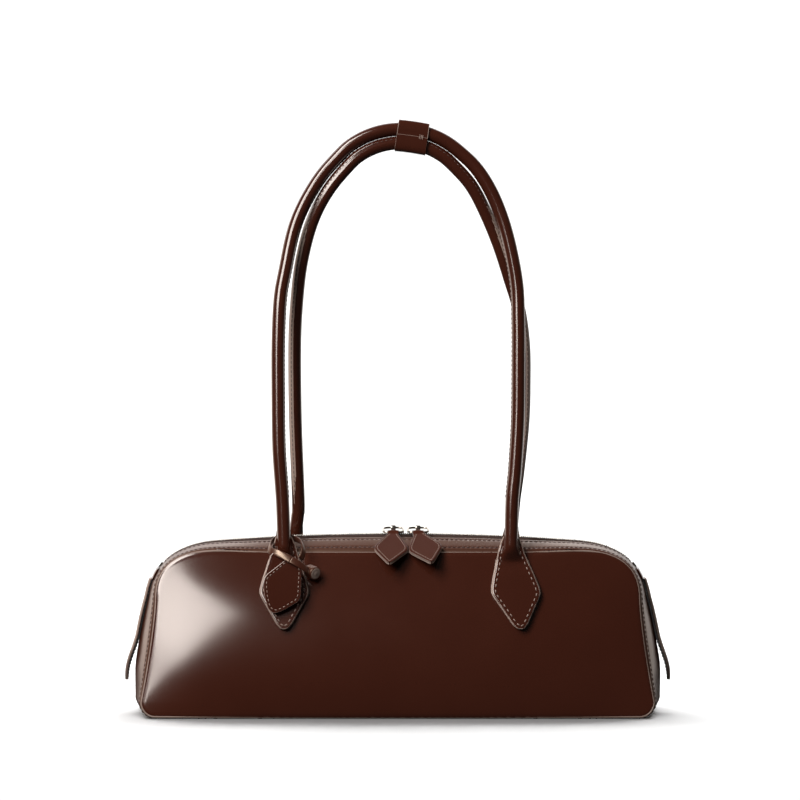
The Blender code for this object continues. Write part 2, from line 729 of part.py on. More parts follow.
def build_end_patch(name, side):
    """The leather patch sewn on at the zip's end."""
    s = side * np.linspace(ZIP_END + CLEARANCE, ZIP_END + PATCH_LENGTH, 4)
    y = PATCH_HALF_WIDTH * np.linspace(-1, 1, 7)[None, :]
    wall(name, band_points(s[:, None], y, PATCH_LEATHER + CLEARANCE), PATCH_LEATHER, leather())


def build_end_tab(name, side):
    """The leather tab that hangs from the patch, against the gusset and then clear of it."""
    start = ZIP_END + PATCH_LENGTH + CLEARANCE
    share, wide_share = np.array(TAB_SHARES).T
    s = side * (start + TAB_LENGTH * share)
    inner = CLEARANCE + TAB_STAND_OFF * smooth((share - TAB_HUG_SHARE) / (1 - TAB_HUG_SHARE))
    outer = inner + TAB_THICKNESS
    half = TAB_HALF_WIDTH * wide_share
    rings = np.stack((crown_points(s, -half, inner), crown_points(s, half, inner),
                      crown_points(s, half, outer), crown_points(s, -half, outer)), axis=1)
    loft(name, rings, leather())


def on_zip(made, x):
    """Move a piece modelled at the zip's middle along the zip's arc to x."""
    turn = math.asin(x / ZIP_ARC_RADIUS)
    made.location = (x, 0.0, float(zip_line_height(x)))
    made.rotation_euler = (0.0, turn, 0.0)


def build_slider(side_name, x):
    """A slider's plate with its two flanges, and the lug that carries the ring."""
    half = SLIDER_HALF_WIDTH
    low = TEETH_PROUD + SLIDER_PLAY - SLIDER_FLANGE_DROP
    under = TEETH_PROUD + SLIDER_PLAY
    rings = []
    for place, share in zip(SLIDER_PLACE_SHARES, SLIDER_WIDTH_SHARES):
        wide = half * share
        inner, flat = wide - SLIDER_FLANGE, wide * SLIDER_TOP_SHARE
        section = ((-wide, low), (-inner, low), (-inner, under), (inner, under), (inner, low),
                   (wide, low), (wide, under), (flat, SLIDER_TOP), (-flat, SLIDER_TOP), (-wide, under))
        rings.append([(SLIDER_LENGTH * place, y, z) for y, z in section])
    on_zip(loft(f"{side_name}_slider", np.array(rings), metal()), x)

    foot = SLIDER_TOP + SLIDER_PLAY
    arch = [(LUG_RADIUS * math.cos(t), LUG_HEIGHT + LUG_RADIUS * math.sin(t))
            for t in np.linspace(0, math.pi, 9)]
    outer = [(LUG_RADIUS, foot)] + arch + [(-LUG_RADIUS, foot)]
    hole = circle(RING_WIRE_RADIUS + CLEARANCE, (0.0, LUG_HEIGHT), 12)
    lug = plate(f"{side_name}_slider_lug", (outer, hole), LUG_HALF_WIDTH, metal())
    lug.location = (x, 0.0, float(zip_line_height(x)))
    lug.rotation_euler = (math.pi / 2, 0.0, math.pi / 2)


def ring_frame(x):
    """Where a ring's back bar and front bar are."""
    top = float(zip_line_height(x)) + LUG_HEIGHT
    return np.array((x, 0.0, top)), np.array((x, -RING_REACH, top - RING_DROP))


def build_ring(side_name, x):
    """The wire ring: its back bar goes through the lug, its front bar through the pull."""
    back, front = ring_frame(x)
    length = math.hypot(RING_REACH, RING_DROP)
    corners = ((-RING_HALF_WIDTH, 0.0), (RING_HALF_WIDTH, 0.0), (RING_HALF_WIDTH, length),
               (-RING_HALF_WIDTH, length))
    flat = rounded(corners, RING_CORNER, 3)
    along = (front - back) / length
    points = [back + np.array((across, 0.0, 0.0)) + along * down for across, down in flat]
    wire(f"{side_name}_pull_ring", points, RING_WIRE_RADIUS, metal(), cyclic=True, resolution=1)


def build_pull(side_name, x, lean):
    """The leather pull: a folded neck round the ring's front bar, and a diamond below it."""
    front = ring_frame(x)[1]
    half = PULL_THICKNESS / 2
    neck_length = PULL_LENGTH * PULL_NECK_SHARE
    turns = np.linspace(math.pi / 2, 3 * math.pi / 2, 9)
    nose = [(half * math.cos(t), half * math.sin(t)) for t in turns]
    outer = nose + [(neck_length, -half), (neck_length, half)]
    hole = circle(RING_WIRE_RADIUS + CLEARANCE, (0.0, 0.0), 12)
    neck = plate(f"{side_name}_pull_neck", (outer, hole), PULL_NECK_HALF_WIDTH, leather(),
                 cutters_collection)
    neck.matrix_world = pull_axes(front, True)
    neck = as_mesh(neck)
    neck.hide_render = True
    neck.display_type = "WIRE"

    corners = []
    for across, down in PULL_OUTLINE_SHARES:
        px, py = PULL_HALF_WIDTH * across, PULL_LENGTH * down
        corners.append((px * math.cos(lean) + py * math.sin(lean),
                        -(py * math.cos(lean) - px * math.sin(lean))))
    diamond = plate(f"{side_name}_pull", (rounded(corners, PULL_CORNER_RADIUS, 3),), half, leather())
    diamond.matrix_world = pull_axes(front, False)
    diamond = as_mesh(diamond)
    join = diamond.modifiers.new("join", "BOOLEAN")
    join.operation = "UNION"
    join.solver = "EXACT"
    join.object = neck


def pull_axes(front, across):
    """The pull's plane at the ring's front bar, or the plane across it for the neck's section."""
    right = np.array((1.0, 0.0, 0.0))
    down = np.array((0.0, -math.cos(PULL_TILT), -math.sin(PULL_TILT)))
    out = np.cross(right, -down)
    return axes(down, out, np.cross(down, out), front) if across else axes(right, -down, out, front)


def leg_points(shares):
    """A leg's control points: x and height."""
    rise = ARCH_CENTRE_HEIGHT - SEAM_HEIGHT
    return np.array([(HANDLE_HALF_SPREAD * across, SEAM_HEIGHT + rise * up) for up, across in shares])


def handle_depth(z):
    """How far a handle stands from the middle plane at a height."""
    up = np.clip((z - SEAM_HEIGHT) / (HANDLE_FLAT_HEIGHT - SEAM_HEIGHT), 0, 1)
    return HANDLE_BASE_DEPTH * (1 - up) ** HANDLE_LEAN_POWER


def through(points, steps=12):
    """A smooth curve through control points."""
    padded = np.vstack((2 * points[0] - points[1], points, 2 * points[-1] - points[-2]))
    t = np.linspace(0, 1, steps, endpoint=False)[:, None]
    out = []
    for a, b, c, d in zip(padded[:-3], padded[1:-2], padded[2:-1], padded[3:]):
        out.append(0.5 * (2 * b + (c - a) * t + (2 * a - 5 * b + 4 * c - d) * t ** 2
                          + (3 * b - a - 3 * c + d) * t ** 3))
    return np.vstack(out + [points[-1:]])


def handle_line(left_shares, right_shares, radius):
    """A handle's centre line seen from the front: up the left leg, over the arch, down the right."""
    turns = np.arange(-ARCH_HALF_TURN, ARCH_HALF_TURN + ARCH_STEP / 2, ARCH_STEP)
    arch = np.column_stack((ARCH_CENTRE_X + radius * np.sin(turns),
                            ARCH_CENTRE_HEIGHT + radius * np.cos(turns)))
    left, right = leg_points(left_shares), leg_points(right_shares)
    up = through(np.vstack((left, arch[:2])))
    down = through(np.vstack((arch[-2:], right[::-1])))
    return up, arch, down


def resample(line, step):
    """Evenly spaced points along a line."""
    gone = np.concatenate(([0.0], np.cumsum(np.hypot(*np.diff(line, axis=0).T))))
    count = max(2, int(round(gone[-1] / step)) + 1)
    at = np.linspace(0, gone[-1], count)
    return np.column_stack([np.interp(at, gone, line[:, k]) for k in range(2)])


def build_handle(name, side, left_shares, right_shares, radius):
    """The stiff upper part of a rolled handle, from neck to neck."""
    up, arch, down = handle_line(left_shares, right_shares, radius)
    low = NECK_TOP + HANDLE_RADIUS
    up = cut_below(up[up[:, 1] <= arch[0, 1]], low)
    down = cut_below(down[down[:, 1] <= arch[-1, 1]][::-1], low)[::-1]
    left = resample(np.vstack((up, arch[:1])), HANDLE_STEP)[:-1]
    right = resample(np.vstack((arch[-1:], down)), HANDLE_STEP)[1:]
    line = np.vstack((left, arch, right))
    points = [(x, side * handle_depth(z), z) for x, z in line]
    foot = NECK_TOP + CLEARANCE
    points = [(*points[0][:2], foot)] + points + [(*points[-1][:2], foot)]
    wire(name, points, HANDLE_RADIUS, leather())


def cut_below(line, low):
    """A rising line from a height upwards."""
    keep = line[line[:, 1] > low + CLEARANCE]
    start = (float(np.interp(low, line[:, 1], line[:, 0])), low)
    return np.vstack((start, keep))


def leg_x(shares, z):
    """x of a leg at a height near its foot."""
    line = through(leg_points(shares[:6]))
    return np.interp(z, line[:, 1], line[:, 0])


def end_section(z, leg_shares, lean, side, margin=0.0, backing=False):
    """A ring round a handle end at one height: a flat plate low down that grows into a tube."""
    at = (z - CHAPE_TIP_HEIGHT) / CHAPE_REACH
    table = np.array(CHAPE_SHARES)
    half_width = CHAPE_HALF_WIDTH * float(np.interp(at, table[:, 0], table[:, 1])) + margin
    rolled = float(np.interp(at, table[:, 0], table[:, 2]))
    half = CHAPE_THICKNESS / 2 + (HANDLE_RADIUS - CHAPE_THICKNESS / 2) * rolled
    square = PLATE_SQUARENESS + (2 - PLATE_SQUARENESS) * rolled
    centre = float(leg_x(leg_shares, max(z, SEAM_HEIGHT))) + lean * max(0.0, SEAM_HEIGHT - z)
    under = CLEARANCE
    if backing:
        half = BACKING_LEATHER / 2
        square = PLATE_SQUARENESS
    else:
        under = BACKING_LEATHER + 2 * CLEARANCE
    turns = np.linspace(0, 2 * math.pi, ROUND_SIDES, endpoint=False)
    across = np.sign(np.cos(turns)) * np.abs(np.cos(turns)) ** (2 / square) * half_width
    thick = np.sign(np.sin(turns)) * np.abs(np.sin(turns)) ** (2 / square) * half
    x = centre + across
    held = min(z, BACKING_TOP)
    plate_depth = panel_depth(x, np.full_like(x, held)) + under + half
    if backing:
        depth = plate_depth
    else:
        shift = smooth((z / SEAM_HEIGHT - LEAVE_START_SHARE) / LEAVE_SHARE)
        depth = plate_depth * (1 - shift) + handle_depth(z) * shift
    return np.column_stack((x, side * (depth + thick), np.full_like(x, z)))


def build_handle_end(corner, side, leg_shares):
    """A chape, the backing under it and the neck above it."""
    lean = CHAPE_LEANS[corner]
    table = np.array(CHAPE_SHARES)
    heights = CHAPE_TIP_HEIGHT + CHAPE_REACH * table[:, 0]
    chape = [z for z in heights if z < NECK_BOTTOM - CLEARANCE] + [NECK_BOTTOM]
    rings = np.array([end_section(z, leg_shares, lean, side) for z in chape])
    loft(f"{corner}_chape", rings, leather())
    backing = [z for z in heights if z < BACKING_TOP - CLEARANCE] + [BACKING_TOP]
    rings = np.array([end_section(z, leg_shares, lean, side, BACKING_MARGIN, True) for z in backing])
    loft(f"{corner}_chape_backing", rings, leather_edge())
    neck = np.linspace(NECK_BOTTOM + CLEARANCE, NECK_TOP, 5)
    rings = np.array([end_section(z, leg_shares, lean, side) for z in neck])
    loft(f"{corner}_neck", rings, leather())


def build_keeper():
    """The leather band round both handles, curved along the arch so that it can slide."""
    mean = (ARCH_RADIUS + BACK_ARCH_RADIUS) / 2
    half_tall = (ARCH_RADIUS - BACK_ARCH_RADIUS) / 2 + HANDLE_RADIUS + CLEARANCE
    half_deep = HANDLE_RADIUS + CLEARANCE
    inner = rounded(((-half_deep, -half_tall), (half_deep, -half_tall), (half_deep, half_tall),
                     (-half_deep, half_tall)), KEEPER_INNER_CORNER, 2)
    wide = KEEPER_LEATHER
    outer = rounded(((-half_deep - wide, -half_tall - wide), (half_deep + wide, -half_tall - wide),
                     (half_deep + wide, half_tall + wide), (-half_deep - wide, half_tall + wide)),
                    KEEPER_OUTER_CORNER, 2)
    half_turn = KEEPER_LENGTH / mean / 2
    turns = KEEPER_TURN + np.linspace(-half_turn, half_turn, 5)
    around = len(inner)
    points = []
    for turn in turns:
        for section in (outer, inner):
            for deep, tall in section:
                reach = mean + tall
                points.append((ARCH_CENTRE_X + reach * math.sin(turn), deep,
                               ARCH_CENTRE_HEIGHT + reach * math.cos(turn)))
    faces = []
    ring = 2 * around
    for i in range(len(turns) - 1):
        for j in range(around):
            k = (j + 1) % around
            low, high = i * ring, (i + 1) * ring
            faces.append((low + j, low + k, high + k, high + j))
            faces.append((low + around + k, low + around + j, high + around + j, high + around + k))
    last = (len(turns) - 1) * ring
    for j in range(around):
        k = (j + 1) % around
        faces.append((k, j, around + j, around + k))
        faces.append((last + j, last + k, last + around + k, last + around + j))
    flat = np.array(points)
    add_mesh("keeper", flat, outward(flat, faces), leather())


def loop_frame():
    """The loop's own directions: right along its rim, forward to its front, and up."""
    right = np.array((math.cos(LOOP_ROLL), 0.0, -math.sin(LOOP_ROLL)))
    level_up = np.array((math.sin(LOOP_ROLL), 0.0, math.cos(LOOP_ROLL)))
    front = np.array((0.0, -1.0, 0.0))
    forward = front * math.cos(LOOP_TILT) - level_up * math.sin(LOOP_TILT)
    up = front * math.sin(LOOP_TILT) + level_up * math.cos(LOOP_TILT)
    return right, forward, up


def build_tag():
    """The hanging tag: two leather layers in one plane that hangs from the loop's front rim."""
    right, forward, _ = loop_frame()
    rim = np.array(LOOP_CENTRE) + forward * LOOP_HALF_DEPTH
    level_down = np.array((-math.sin(LOOP_ROLL), 0.0, -math.cos(LOOP_ROLL)))
    down = level_down * math.cos(TAG_TILT) + np.array((0.0, -math.sin(TAG_TILT), 0.0))
    out = np.cross(right, -down)
    corners = [(TAG_HALF_WIDTH * across, -TAG_LENGTH * low) for across, low in TAG_OUTLINE_SHARES]
    outline = rounded(corners, TAG_CORNER_RADIUS, 2)
    for name, layer in (("tag_back", -0.5), ("tag_front", 0.5)):
        made = plate(name, (outline,), TAG_LAYER / 2, leather())
        made.matrix_world = axes(right, -down, out, rim + out * layer * (TAG_LAYER + CLEARANCE))


def build_tag_loop():
    """The strap loop round the handle's foot, tipped forwards and to one side."""
    centre = np.array(LOOP_CENTRE)
    right, forward, up = loop_frame()
    turns = np.linspace(0, 2 * math.pi, 20, endpoint=False)
    points = []
    for turn in turns:
        for grow, lift in STRAP_CORNER_SHARES:
            thick = LOOP_STRAP_THICKNESS * grow
            points.append(centre + right * (LOOP_HALF_WIDTH + thick) * math.cos(turn)
                          + forward * (LOOP_HALF_DEPTH + thick) * math.sin(turn)
                          + up * LOOP_STRAP_WIDTH * lift)
    faces = []
    for i in range(len(turns)):
        k = (i + 1) % len(turns)
        for j in range(4):
            m = (j + 1) % 4
            faces.append((i * 4 + j, i * 4 + m, k * 4 + m, k * 4 + j))
    flat = np.array(points)
    add_mesh("tag_loop", flat, outward(flat, faces), leather())


def build_toggle():
    """The loop's narrow end that crosses the tag, and the ball on it."""
    depth = float(panel_depth(BALL_X, BALL_HEIGHT)) + BALL_RADIUS + 2 * CLEARANCE
    ball = np.array((BALL_X, -depth, BALL_HEIGHT))
    start, middle = np.array(TOGGLE_START), np.array(TOGGLE_MIDDLE)
    away = middle - ball
    end = ball + away / np.linalg.norm(away) * (BALL_RADIUS + CLEARANCE)
    t = np.linspace(0, 1, 7)[:, None]
    points = (1 - t) ** 2 * start + 2 * t * (1 - t) * middle + t ** 2 * end
    wire("tag_toggle_strap", points, TOGGLE_RADIUS, leather(), resolution=1)
    bpy.ops.mesh.primitive_uv_sphere_add(segments=14, ring_count=8, radius=BALL_RADIUS, location=ball)
    made = bpy.context.active_object
    for home in list(made.users_collection):
        home.objects.unlink(made)
    parts_collection.objects.link(made)
    made.name = "tag_ball"
    made.data.materials.append(leather())
    made.data.shade_smooth()


def build_body():
    for name, side in (("front", -1), ("back", 1)):
        build_panel(f"{name}_panel", side)
        build_piping(f"{name}_piping", side)
        build_zip_band(f"{name}_zip_band", side)
        build_zip_tape(f"{name}_zip_tape", side)
        build_zip_teeth(f"{name}_zip_teeth", side)
    for name, side in (("left", -1), ("right", 1)):
        build_gusset(f"{name}_end_gusset", side)
        build_zip_stop(f"{name}_zip_stop", side)
        build_end_patch(f"{name}_zip_end_patch", side)
        build_end_tab(f"{name}_end_tab", side)
    build_base()
    build_lining()


def build_pulls():
    for name, x, lean in (("left", LEFT_SLIDER_X, LEFT_PULL_LEAN), ("right", RIGHT_SLIDER_X, RIGHT_PULL_LEAN)):
        build_slider(name, x)
        build_ring(name, x)
        build_pull(name, x, lean)


def build_handles():
    build_handle("front_handle", -1, FRONT_LEFT_LEG_SHARES, FRONT_RIGHT_LEG_SHARES, ARCH_RADIUS)
    build_handle("back_handle", 1, BACK_LEFT_LEG_SHARES, BACK_RIGHT_LEG_SHARES, BACK_ARCH_RADIUS)
    build_handle_end("front_left", -1, FRONT_LEFT_LEG_SHARES)
    build_handle_end("front_right", -1, FRONT_RIGHT_LEG_SHARES)
    build_handle_end("back_left", 1, BACK_LEFT_LEG_SHARES)
    build_handle_end("back_right", 1, BACK_RIGHT_LEG_SHARES)
    build_keeper()


def attach(child, parent):
    """Parent one object to another without moving it."""
    child.parent = parent
    child.matrix_parent_inverse = parent.matrix_world.inverted()


def pivot(name, place, pieces, parent=None):
    """An empty on a joint's axis, which carries the pieces that turn there."""
    made = bpy.data.objects.new(name, None)
    made.location = tuple(map(float, place))
    made.empty_display_size = HANDLE_RADIUS
    parts_collection.objects.link(made)
    bpy.context.view_layer.update()
    if parent:
        attach(made, parent)
    for piece in pieces:
        attach(bpy.data.objects[piece], made)
    return made


def hang_on_axes():
    """Every moving piece under an empty on the axis that it turns on."""
    necks = [f"{corner}_neck" for corner in CHAPE_LEANS]
    handles = pivot("handles_axis", (0.0, 0.0, HANDLE_AXIS_HEIGHT), ["front_handle", "back_handle"] + necks)
    pivot("keeper_axis", (ARCH_CENTRE_X, 0.0, ARCH_CENTRE_HEIGHT), ["keeper"], handles)
    for name, x in (("left", LEFT_SLIDER_X), ("right", RIGHT_SLIDER_X)):
        back, front = ring_frame(x)
        slider = pivot(f"{name}_slider_axis", (0.0, 0.0, ZIP_HEIGHT - ZIP_ARC_RADIUS),
                       [f"{name}_slider", f"{name}_slider_lug"])
        ring = pivot(f"{name}_ring_axis", back, [f"{name}_pull_ring"], slider)
        pivot(f"{name}_pull_axis", front, [f"{name}_pull"], ring)
    for name, side in (("left", -1), ("right", 1)):
        start = side * (ZIP_END + PATCH_LENGTH + CLEARANCE)
        pivot(f"{name}_tab_axis", crown_points(start, 0.0, CLEARANCE + TAB_THICKNESS / 2), [f"{name}_end_tab"])
    forward = loop_frame()[1]
    pivot("tag_axis", np.array(LOOP_CENTRE) + forward * LOOP_HALF_DEPTH, ["tag_back", "tag_front"])


build_body()
build_pulls()
build_handles()
build_tag()
build_tag_loop()
build_toggle()
hang_on_axes()
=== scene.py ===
import math

import bpy
import numpy as np
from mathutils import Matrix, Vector


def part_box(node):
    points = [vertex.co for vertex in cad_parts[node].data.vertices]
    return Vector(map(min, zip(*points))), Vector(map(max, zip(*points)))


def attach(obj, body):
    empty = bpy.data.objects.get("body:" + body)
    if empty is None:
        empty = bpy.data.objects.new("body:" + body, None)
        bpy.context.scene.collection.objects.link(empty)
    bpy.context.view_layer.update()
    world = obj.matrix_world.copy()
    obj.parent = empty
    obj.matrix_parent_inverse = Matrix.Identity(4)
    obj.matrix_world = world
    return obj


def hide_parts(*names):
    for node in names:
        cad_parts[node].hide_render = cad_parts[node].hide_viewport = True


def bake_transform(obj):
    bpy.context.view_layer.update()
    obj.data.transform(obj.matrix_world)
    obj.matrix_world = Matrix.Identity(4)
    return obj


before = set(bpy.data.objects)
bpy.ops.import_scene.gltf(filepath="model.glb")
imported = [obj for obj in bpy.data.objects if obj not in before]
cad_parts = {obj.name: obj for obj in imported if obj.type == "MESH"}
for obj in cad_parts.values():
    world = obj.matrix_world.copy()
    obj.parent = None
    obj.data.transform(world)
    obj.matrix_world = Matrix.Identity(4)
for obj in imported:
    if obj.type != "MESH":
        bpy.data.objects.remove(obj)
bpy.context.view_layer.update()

# Driving sizes, in metres, read from the frame
PIPING_SINK = 0.0003
piping_low, piping_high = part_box("front_piping")
BASE_HALF_WIDTH = piping_high.x + PIPING_SINK
BASE_HALF_DEPTH = PIPING_SINK - piping_low.y
SEAM_CREST = piping_high.z + PIPING_SINK
TOP_HALF_DEPTH = PIPING_SINK - piping_high.y
TEETH_PROUD = 0.0007
ZIP_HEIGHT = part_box("front_zip_teeth")[1].z - TEETH_PROUD

# The body's outline, with the sizes and shares that the CAD model has
SHOULDER_HALF_WIDTH = 0.1130
WAIST_HALF_WIDTH = 0.1545
WAIST_HEIGHT = 0.0740
CORNER_RADIUS = 0.0100
SHOULDER_RISE = 0.0012
SHOULDER_SQUARENESS = 2.5
FLARE_POWER = 1.5
RISE_START_SHARE = 0.7
BAND_ROUNDNESS = 1.6
PANEL_CROWN = 0.0070
PANEL_SQUARENESS = 4.0
PANEL_RISE_POWER = 0.85
ZIP_ARC_RADIUS = 1.5500
END_BULGE = 0.0102
CORNER_BULGE_SHARE = 0.62
BULGE_SHARES = ((0.20, 0.35), (0.34, 0.33), (0.42, 0.45), (0.48, 0.61), (0.54, 0.77), (0.61, 0.88),
                (0.70, 0.965), (0.80, 1.0), (0.86, 0.97), (0.92, 0.83))
ZIP_END_HEIGHT = 0.0910
ZIP_HALF_GAP = 0.0075
LEATHER = 0.0018
GAP = 0.0003

SEAM_HEIGHT = SEAM_CREST - SHOULDER_RISE
DENSE = 240
SIDE_ROWS = slice(DENSE - 1, 4 * (DENSE - 1) + 1)
BODY_MIDDLE = (0.0, 0.0, 0.052)
SIDES = {"front": -1, "back": 1}
RIGHT, BACK, UP = np.eye(3)

# Pitch, length and thread radius of each kind of stitching
STITCHES = {"seam": (0.0030, 0.0023, 0.00034), "handle": (0.0030, 0.0023, 0.00024),
            "chape": (0.0037, 0.0023, 0.00040), "fine": (0.0024, 0.0018, 0.00024),
            "pull": (0.00204, 0.00153, 0.00024), "tag": (0.00285, 0.0018, 0.000306)}
# A stitch's rings: share of its length, then thickness and lift in thread radii
STITCH_SHARES = np.array(((-0.5, 0.35, -0.9), (-0.4, 0.85, 0.0), (-0.15, 1.0, 0.5),
                          (0.15, 1.0, 0.5), (0.4, 0.85, 0.0), (0.5, 0.35, -0.9)))

finishes = {}


def smooth(share):
    """An even ease from 0 to 1."""
    held = np.clip(share, 0.0, 1.0)
    return held * held * (3 - 2 * held)


def ease(value, start, end):
    """An even ease from 0 at the start to 1 at the end."""
    return smooth((value - start) / (end - start))


def hump(away, width):
    """A rounded hump: e to the power of minus (away / width) squared."""
    return np.exp(-(away / width) ** 2)


def turns_round(count):
    """Even turns of a full circle."""
    return np.linspace(0, 2 * math.pi, count, endpoint=False)


def points_at(*columns):
    """Points from their coordinates, each an array or one number."""
    return np.stack(np.broadcast_arrays(*columns), axis=-1)


def evened(values, times):
    """Values along a line, each drawn towards the mean of its neighbours."""
    for _ in range(times):
        values[1:-1] = (values[:-2] + 2 * values[1:-1] + values[2:]) / 4
    return values


def unit(v):
    return v / np.maximum(np.linalg.norm(v, axis=-1, keepdims=True), 1e-12)


def travelled(path):
    """Distance gone at each point of a path."""
    return np.concatenate(([0.0], np.cumsum(np.linalg.norm(np.diff(path, axis=0), axis=1))))


def read_along(at, gone, table):
    """Each column of a table, read at distances along it."""
    return np.column_stack([np.interp(at, gone, column) for column in table.T])


def resample(path, step):
    """Points at an even step along a path, with as many more columns as the path has."""
    gone = travelled(path[:, :3])
    count = max(3, int(round(gone[-1] / step)) + 1)
    return read_along(np.linspace(0, gone[-1], count), gone, path)


# The two lines on which the body hangs

def shoulder_rise(share):
    """How far the seam rises towards the shoulder, at a share of the way there."""
    return SHOULDER_RISE * ease(share, RISE_START_SHARE, 1)


def seam_outline():
    """Right half of the seam from the top middle round to the base middle, with its stretches' ends."""
    turn = np.linspace(0, math.pi / 2, DENSE)
    share = np.linspace(0, 1, DENSE)
    out, down = (np.clip(wave(turn), 0, 1) ** (2 / SHOULDER_SQUARENESS) for wave in (np.sin, np.cos))
    inner = BASE_HALF_WIDTH - CORNER_RADIUS
    stretches = [points_at(*pair) for pair in (
        (SHOULDER_HALF_WIDTH * share, SEAM_HEIGHT + shoulder_rise(share)),
        (SHOULDER_HALF_WIDTH + (WAIST_HALF_WIDTH - SHOULDER_HALF_WIDTH) * out,
         WAIST_HEIGHT + (SEAM_CREST - WAIST_HEIGHT) * down),
        (WAIST_HALF_WIDTH + (BASE_HALF_WIDTH - WAIST_HALF_WIDTH) * share ** FLARE_POWER,
         WAIST_HEIGHT - (WAIST_HEIGHT - CORNER_RADIUS) * share),
        (inner + CORNER_RADIUS * np.cos(turn), CORNER_RADIUS - CORNER_RADIUS * np.sin(turn)),
        (inner * (1 - share), 0))]
    points = np.concatenate([stretches[0]] + [stretch[1:] for stretch in stretches[1:]])
    along = travelled(points)
    return points, along, [along[(DENSE - 1) * (n + 1)] for n in range(len(stretches))]


OUTLINE, ALONG, STRETCH_ENDS = seam_outline()
SHOULDER_START, _, CORNER_START, CORNER_END, BASE_MIDDLE = STRETCH_ENDS


def outline_normals():
    """Outward direction at each outline point, eased over the joins of the stretches."""
    even = np.linspace(0, BASE_MIDDLE, 4 * DENSE)
    tangent = np.gradient(read_along(even, ALONG, OUTLINE), axis=0)
    normal = evened(points_at(-tangent[:, 1], tangent[:, 0]), 6)
    return read_along(ALONG, even, unit(normal))


def zip_line_height(x):
    """Height of the band's crown over the top, a long arc."""
    return ZIP_HEIGHT - ZIP_ARC_RADIUS + np.sqrt(ZIP_ARC_RADIUS ** 2 - x * x)


def outline_bulge():
    """How far the band's crown stands out of the seam at each outline point."""
    bulge = zip_line_height(np.minimum(OUTLINE[:, 0], SHOULDER_HALF_WIDTH)) - OUTLINE[:, 1]
    start = bulge[DENSE - 1] / END_BULGE
    shares, heights = np.array(((0, start), *BULGE_SHARES, (1, CORNER_BULGE_SHARE))).T
    fine = np.linspace(0, 1, DENSE)
    eased = evened(np.interp(fine, shares, END_BULGE * heights), 90)
    middle = np.interp((ALONG - SHOULDER_START) / (CORNER_START - SHOULDER_START), fine, eased)
    turned = np.clip((ALONG - CORNER_START) / (CORNER_END - CORNER_START), 0, 1) * math.pi / 2
    low = END_BULGE * CORNER_BULGE_SHARE * (1 - np.sin(turned))
    return np.where(ALONG < SHOULDER_START, bulge, np.where(ALONG < CORNER_START, middle, low))


SEAM = np.column_stack((OUTLINE, outline_normals(), outline_bulge()))


def seam_depth(z):
    """Half depth of the body at the seam."""
    return BASE_HALF_DEPTH + (TOP_HALF_DEPTH - BASE_HALF_DEPTH) * np.clip(z / SEAM_HEIGHT, 0, 1)


def seam_half_width(z):
    """Half width of the body at the seam."""
    rows = OUTLINE[SIDE_ROWS][::-1]
    return np.interp(z, rows[:, 1], rows[:, 0])


def panel_depth(x, z):
    """Depth of a panel's outer face from the middle plane: the seam's depth plus the crown."""
    across = np.clip(np.abs(x) / seam_half_width(z), 0, 1)
    up = np.clip(z / SEAM_HEIGHT, 0, 1) ** PANEL_RISE_POWER
    crown = (1 - across ** PANEL_SQUARENESS) * np.sin(math.pi * up)
    return seam_depth(z) + PANEL_CROWN * np.clip(crown, 0, 1)


def seam_at(s):
    """x, z and outward direction of the seam, and the bulge, at distance s from the top middle."""
    side = np.where(np.asarray(s) < 0, -1.0, 1.0)
    x, z, nx, nz, bulge = (np.interp(np.abs(s), ALONG, column) for column in SEAM.T)
    return x * side, z, nx * side, nz, bulge


def band_points(s, y, out, level=False):
    """Points of the band surface at distances s and depths y, moved outwards by out."""
    x, z, nx, nz, bulge = seam_at(s)
    share = 0.0 if level else np.clip(np.abs(y) / seam_depth(z), 0, 1)
    stand = bulge * (1 - share ** BAND_ROUNDNESS) + out
    return points_at(x + nx * stand, y, z + nz * stand)


# Distance along the outline at which the side passes the height of the zip's end
ZIP_END = float(np.interp(ZIP_END_HEIGHT, OUTLINE[SIDE_ROWS][::-1, 1], ALONG[SIDE_ROWS][::-1]))


def ripple(points, height):
    """Slow unevenness of a leather surface: a few sine waves that cross, as a height."""
    waves = ((61, 23, 97, 0.3), (-43, 71, 52, 1.7), (112, -31, -68, 2.9), (29, 88, -121, 4.4))
    return height * sum(np.sin(points @ np.array(way) + start) for *way, start in waves) / len(waves)


# Meshes

def add_piece(name, points, faces, body, finish, marks=None, hides=(), slot="leather", sharp=0):
    """One piece, which rides on its body. Marks give each face the first or second finish in the list."""
    mesh = bpy.data.meshes.new(name)
    mesh.from_pydata(np.asarray(points).reshape(-1, 3).tolist(), [], faces)
    for word in finish.split():
        mesh.materials.append(finishes[word])
    if marks is not None:
        mesh.polygons.foreach_set("material_index", np.asarray(marks, np.int32))
    mesh.polygons.foreach_set("use_smooth", np.ones(len(mesh.polygons), bool))
    mesh.update()
    if sharp:
        mesh.set_sharp_from_angle(angle=math.radians(sharp))
    made = bpy.data.objects.new(name, mesh)
    bpy.context.scene.collection.objects.link(made)
    if body:
        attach(made, body)
    if hides:
        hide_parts(*hides)
    return made


def grid_faces(rows, columns, wrap_rows=False, wrap_columns=False):
    """Quads of a grid of points, row by row."""
    i = np.arange(rows if wrap_rows else rows - 1)[:, None]
    j = np.arange(columns if wrap_columns else columns - 1)
    k, m = (i + 1) % rows, (j + 1) % columns
    return points_at(*(a * columns + b for a, b in ((i, j), (k, j), (k, m), (i, m)))).reshape(-1, 4)


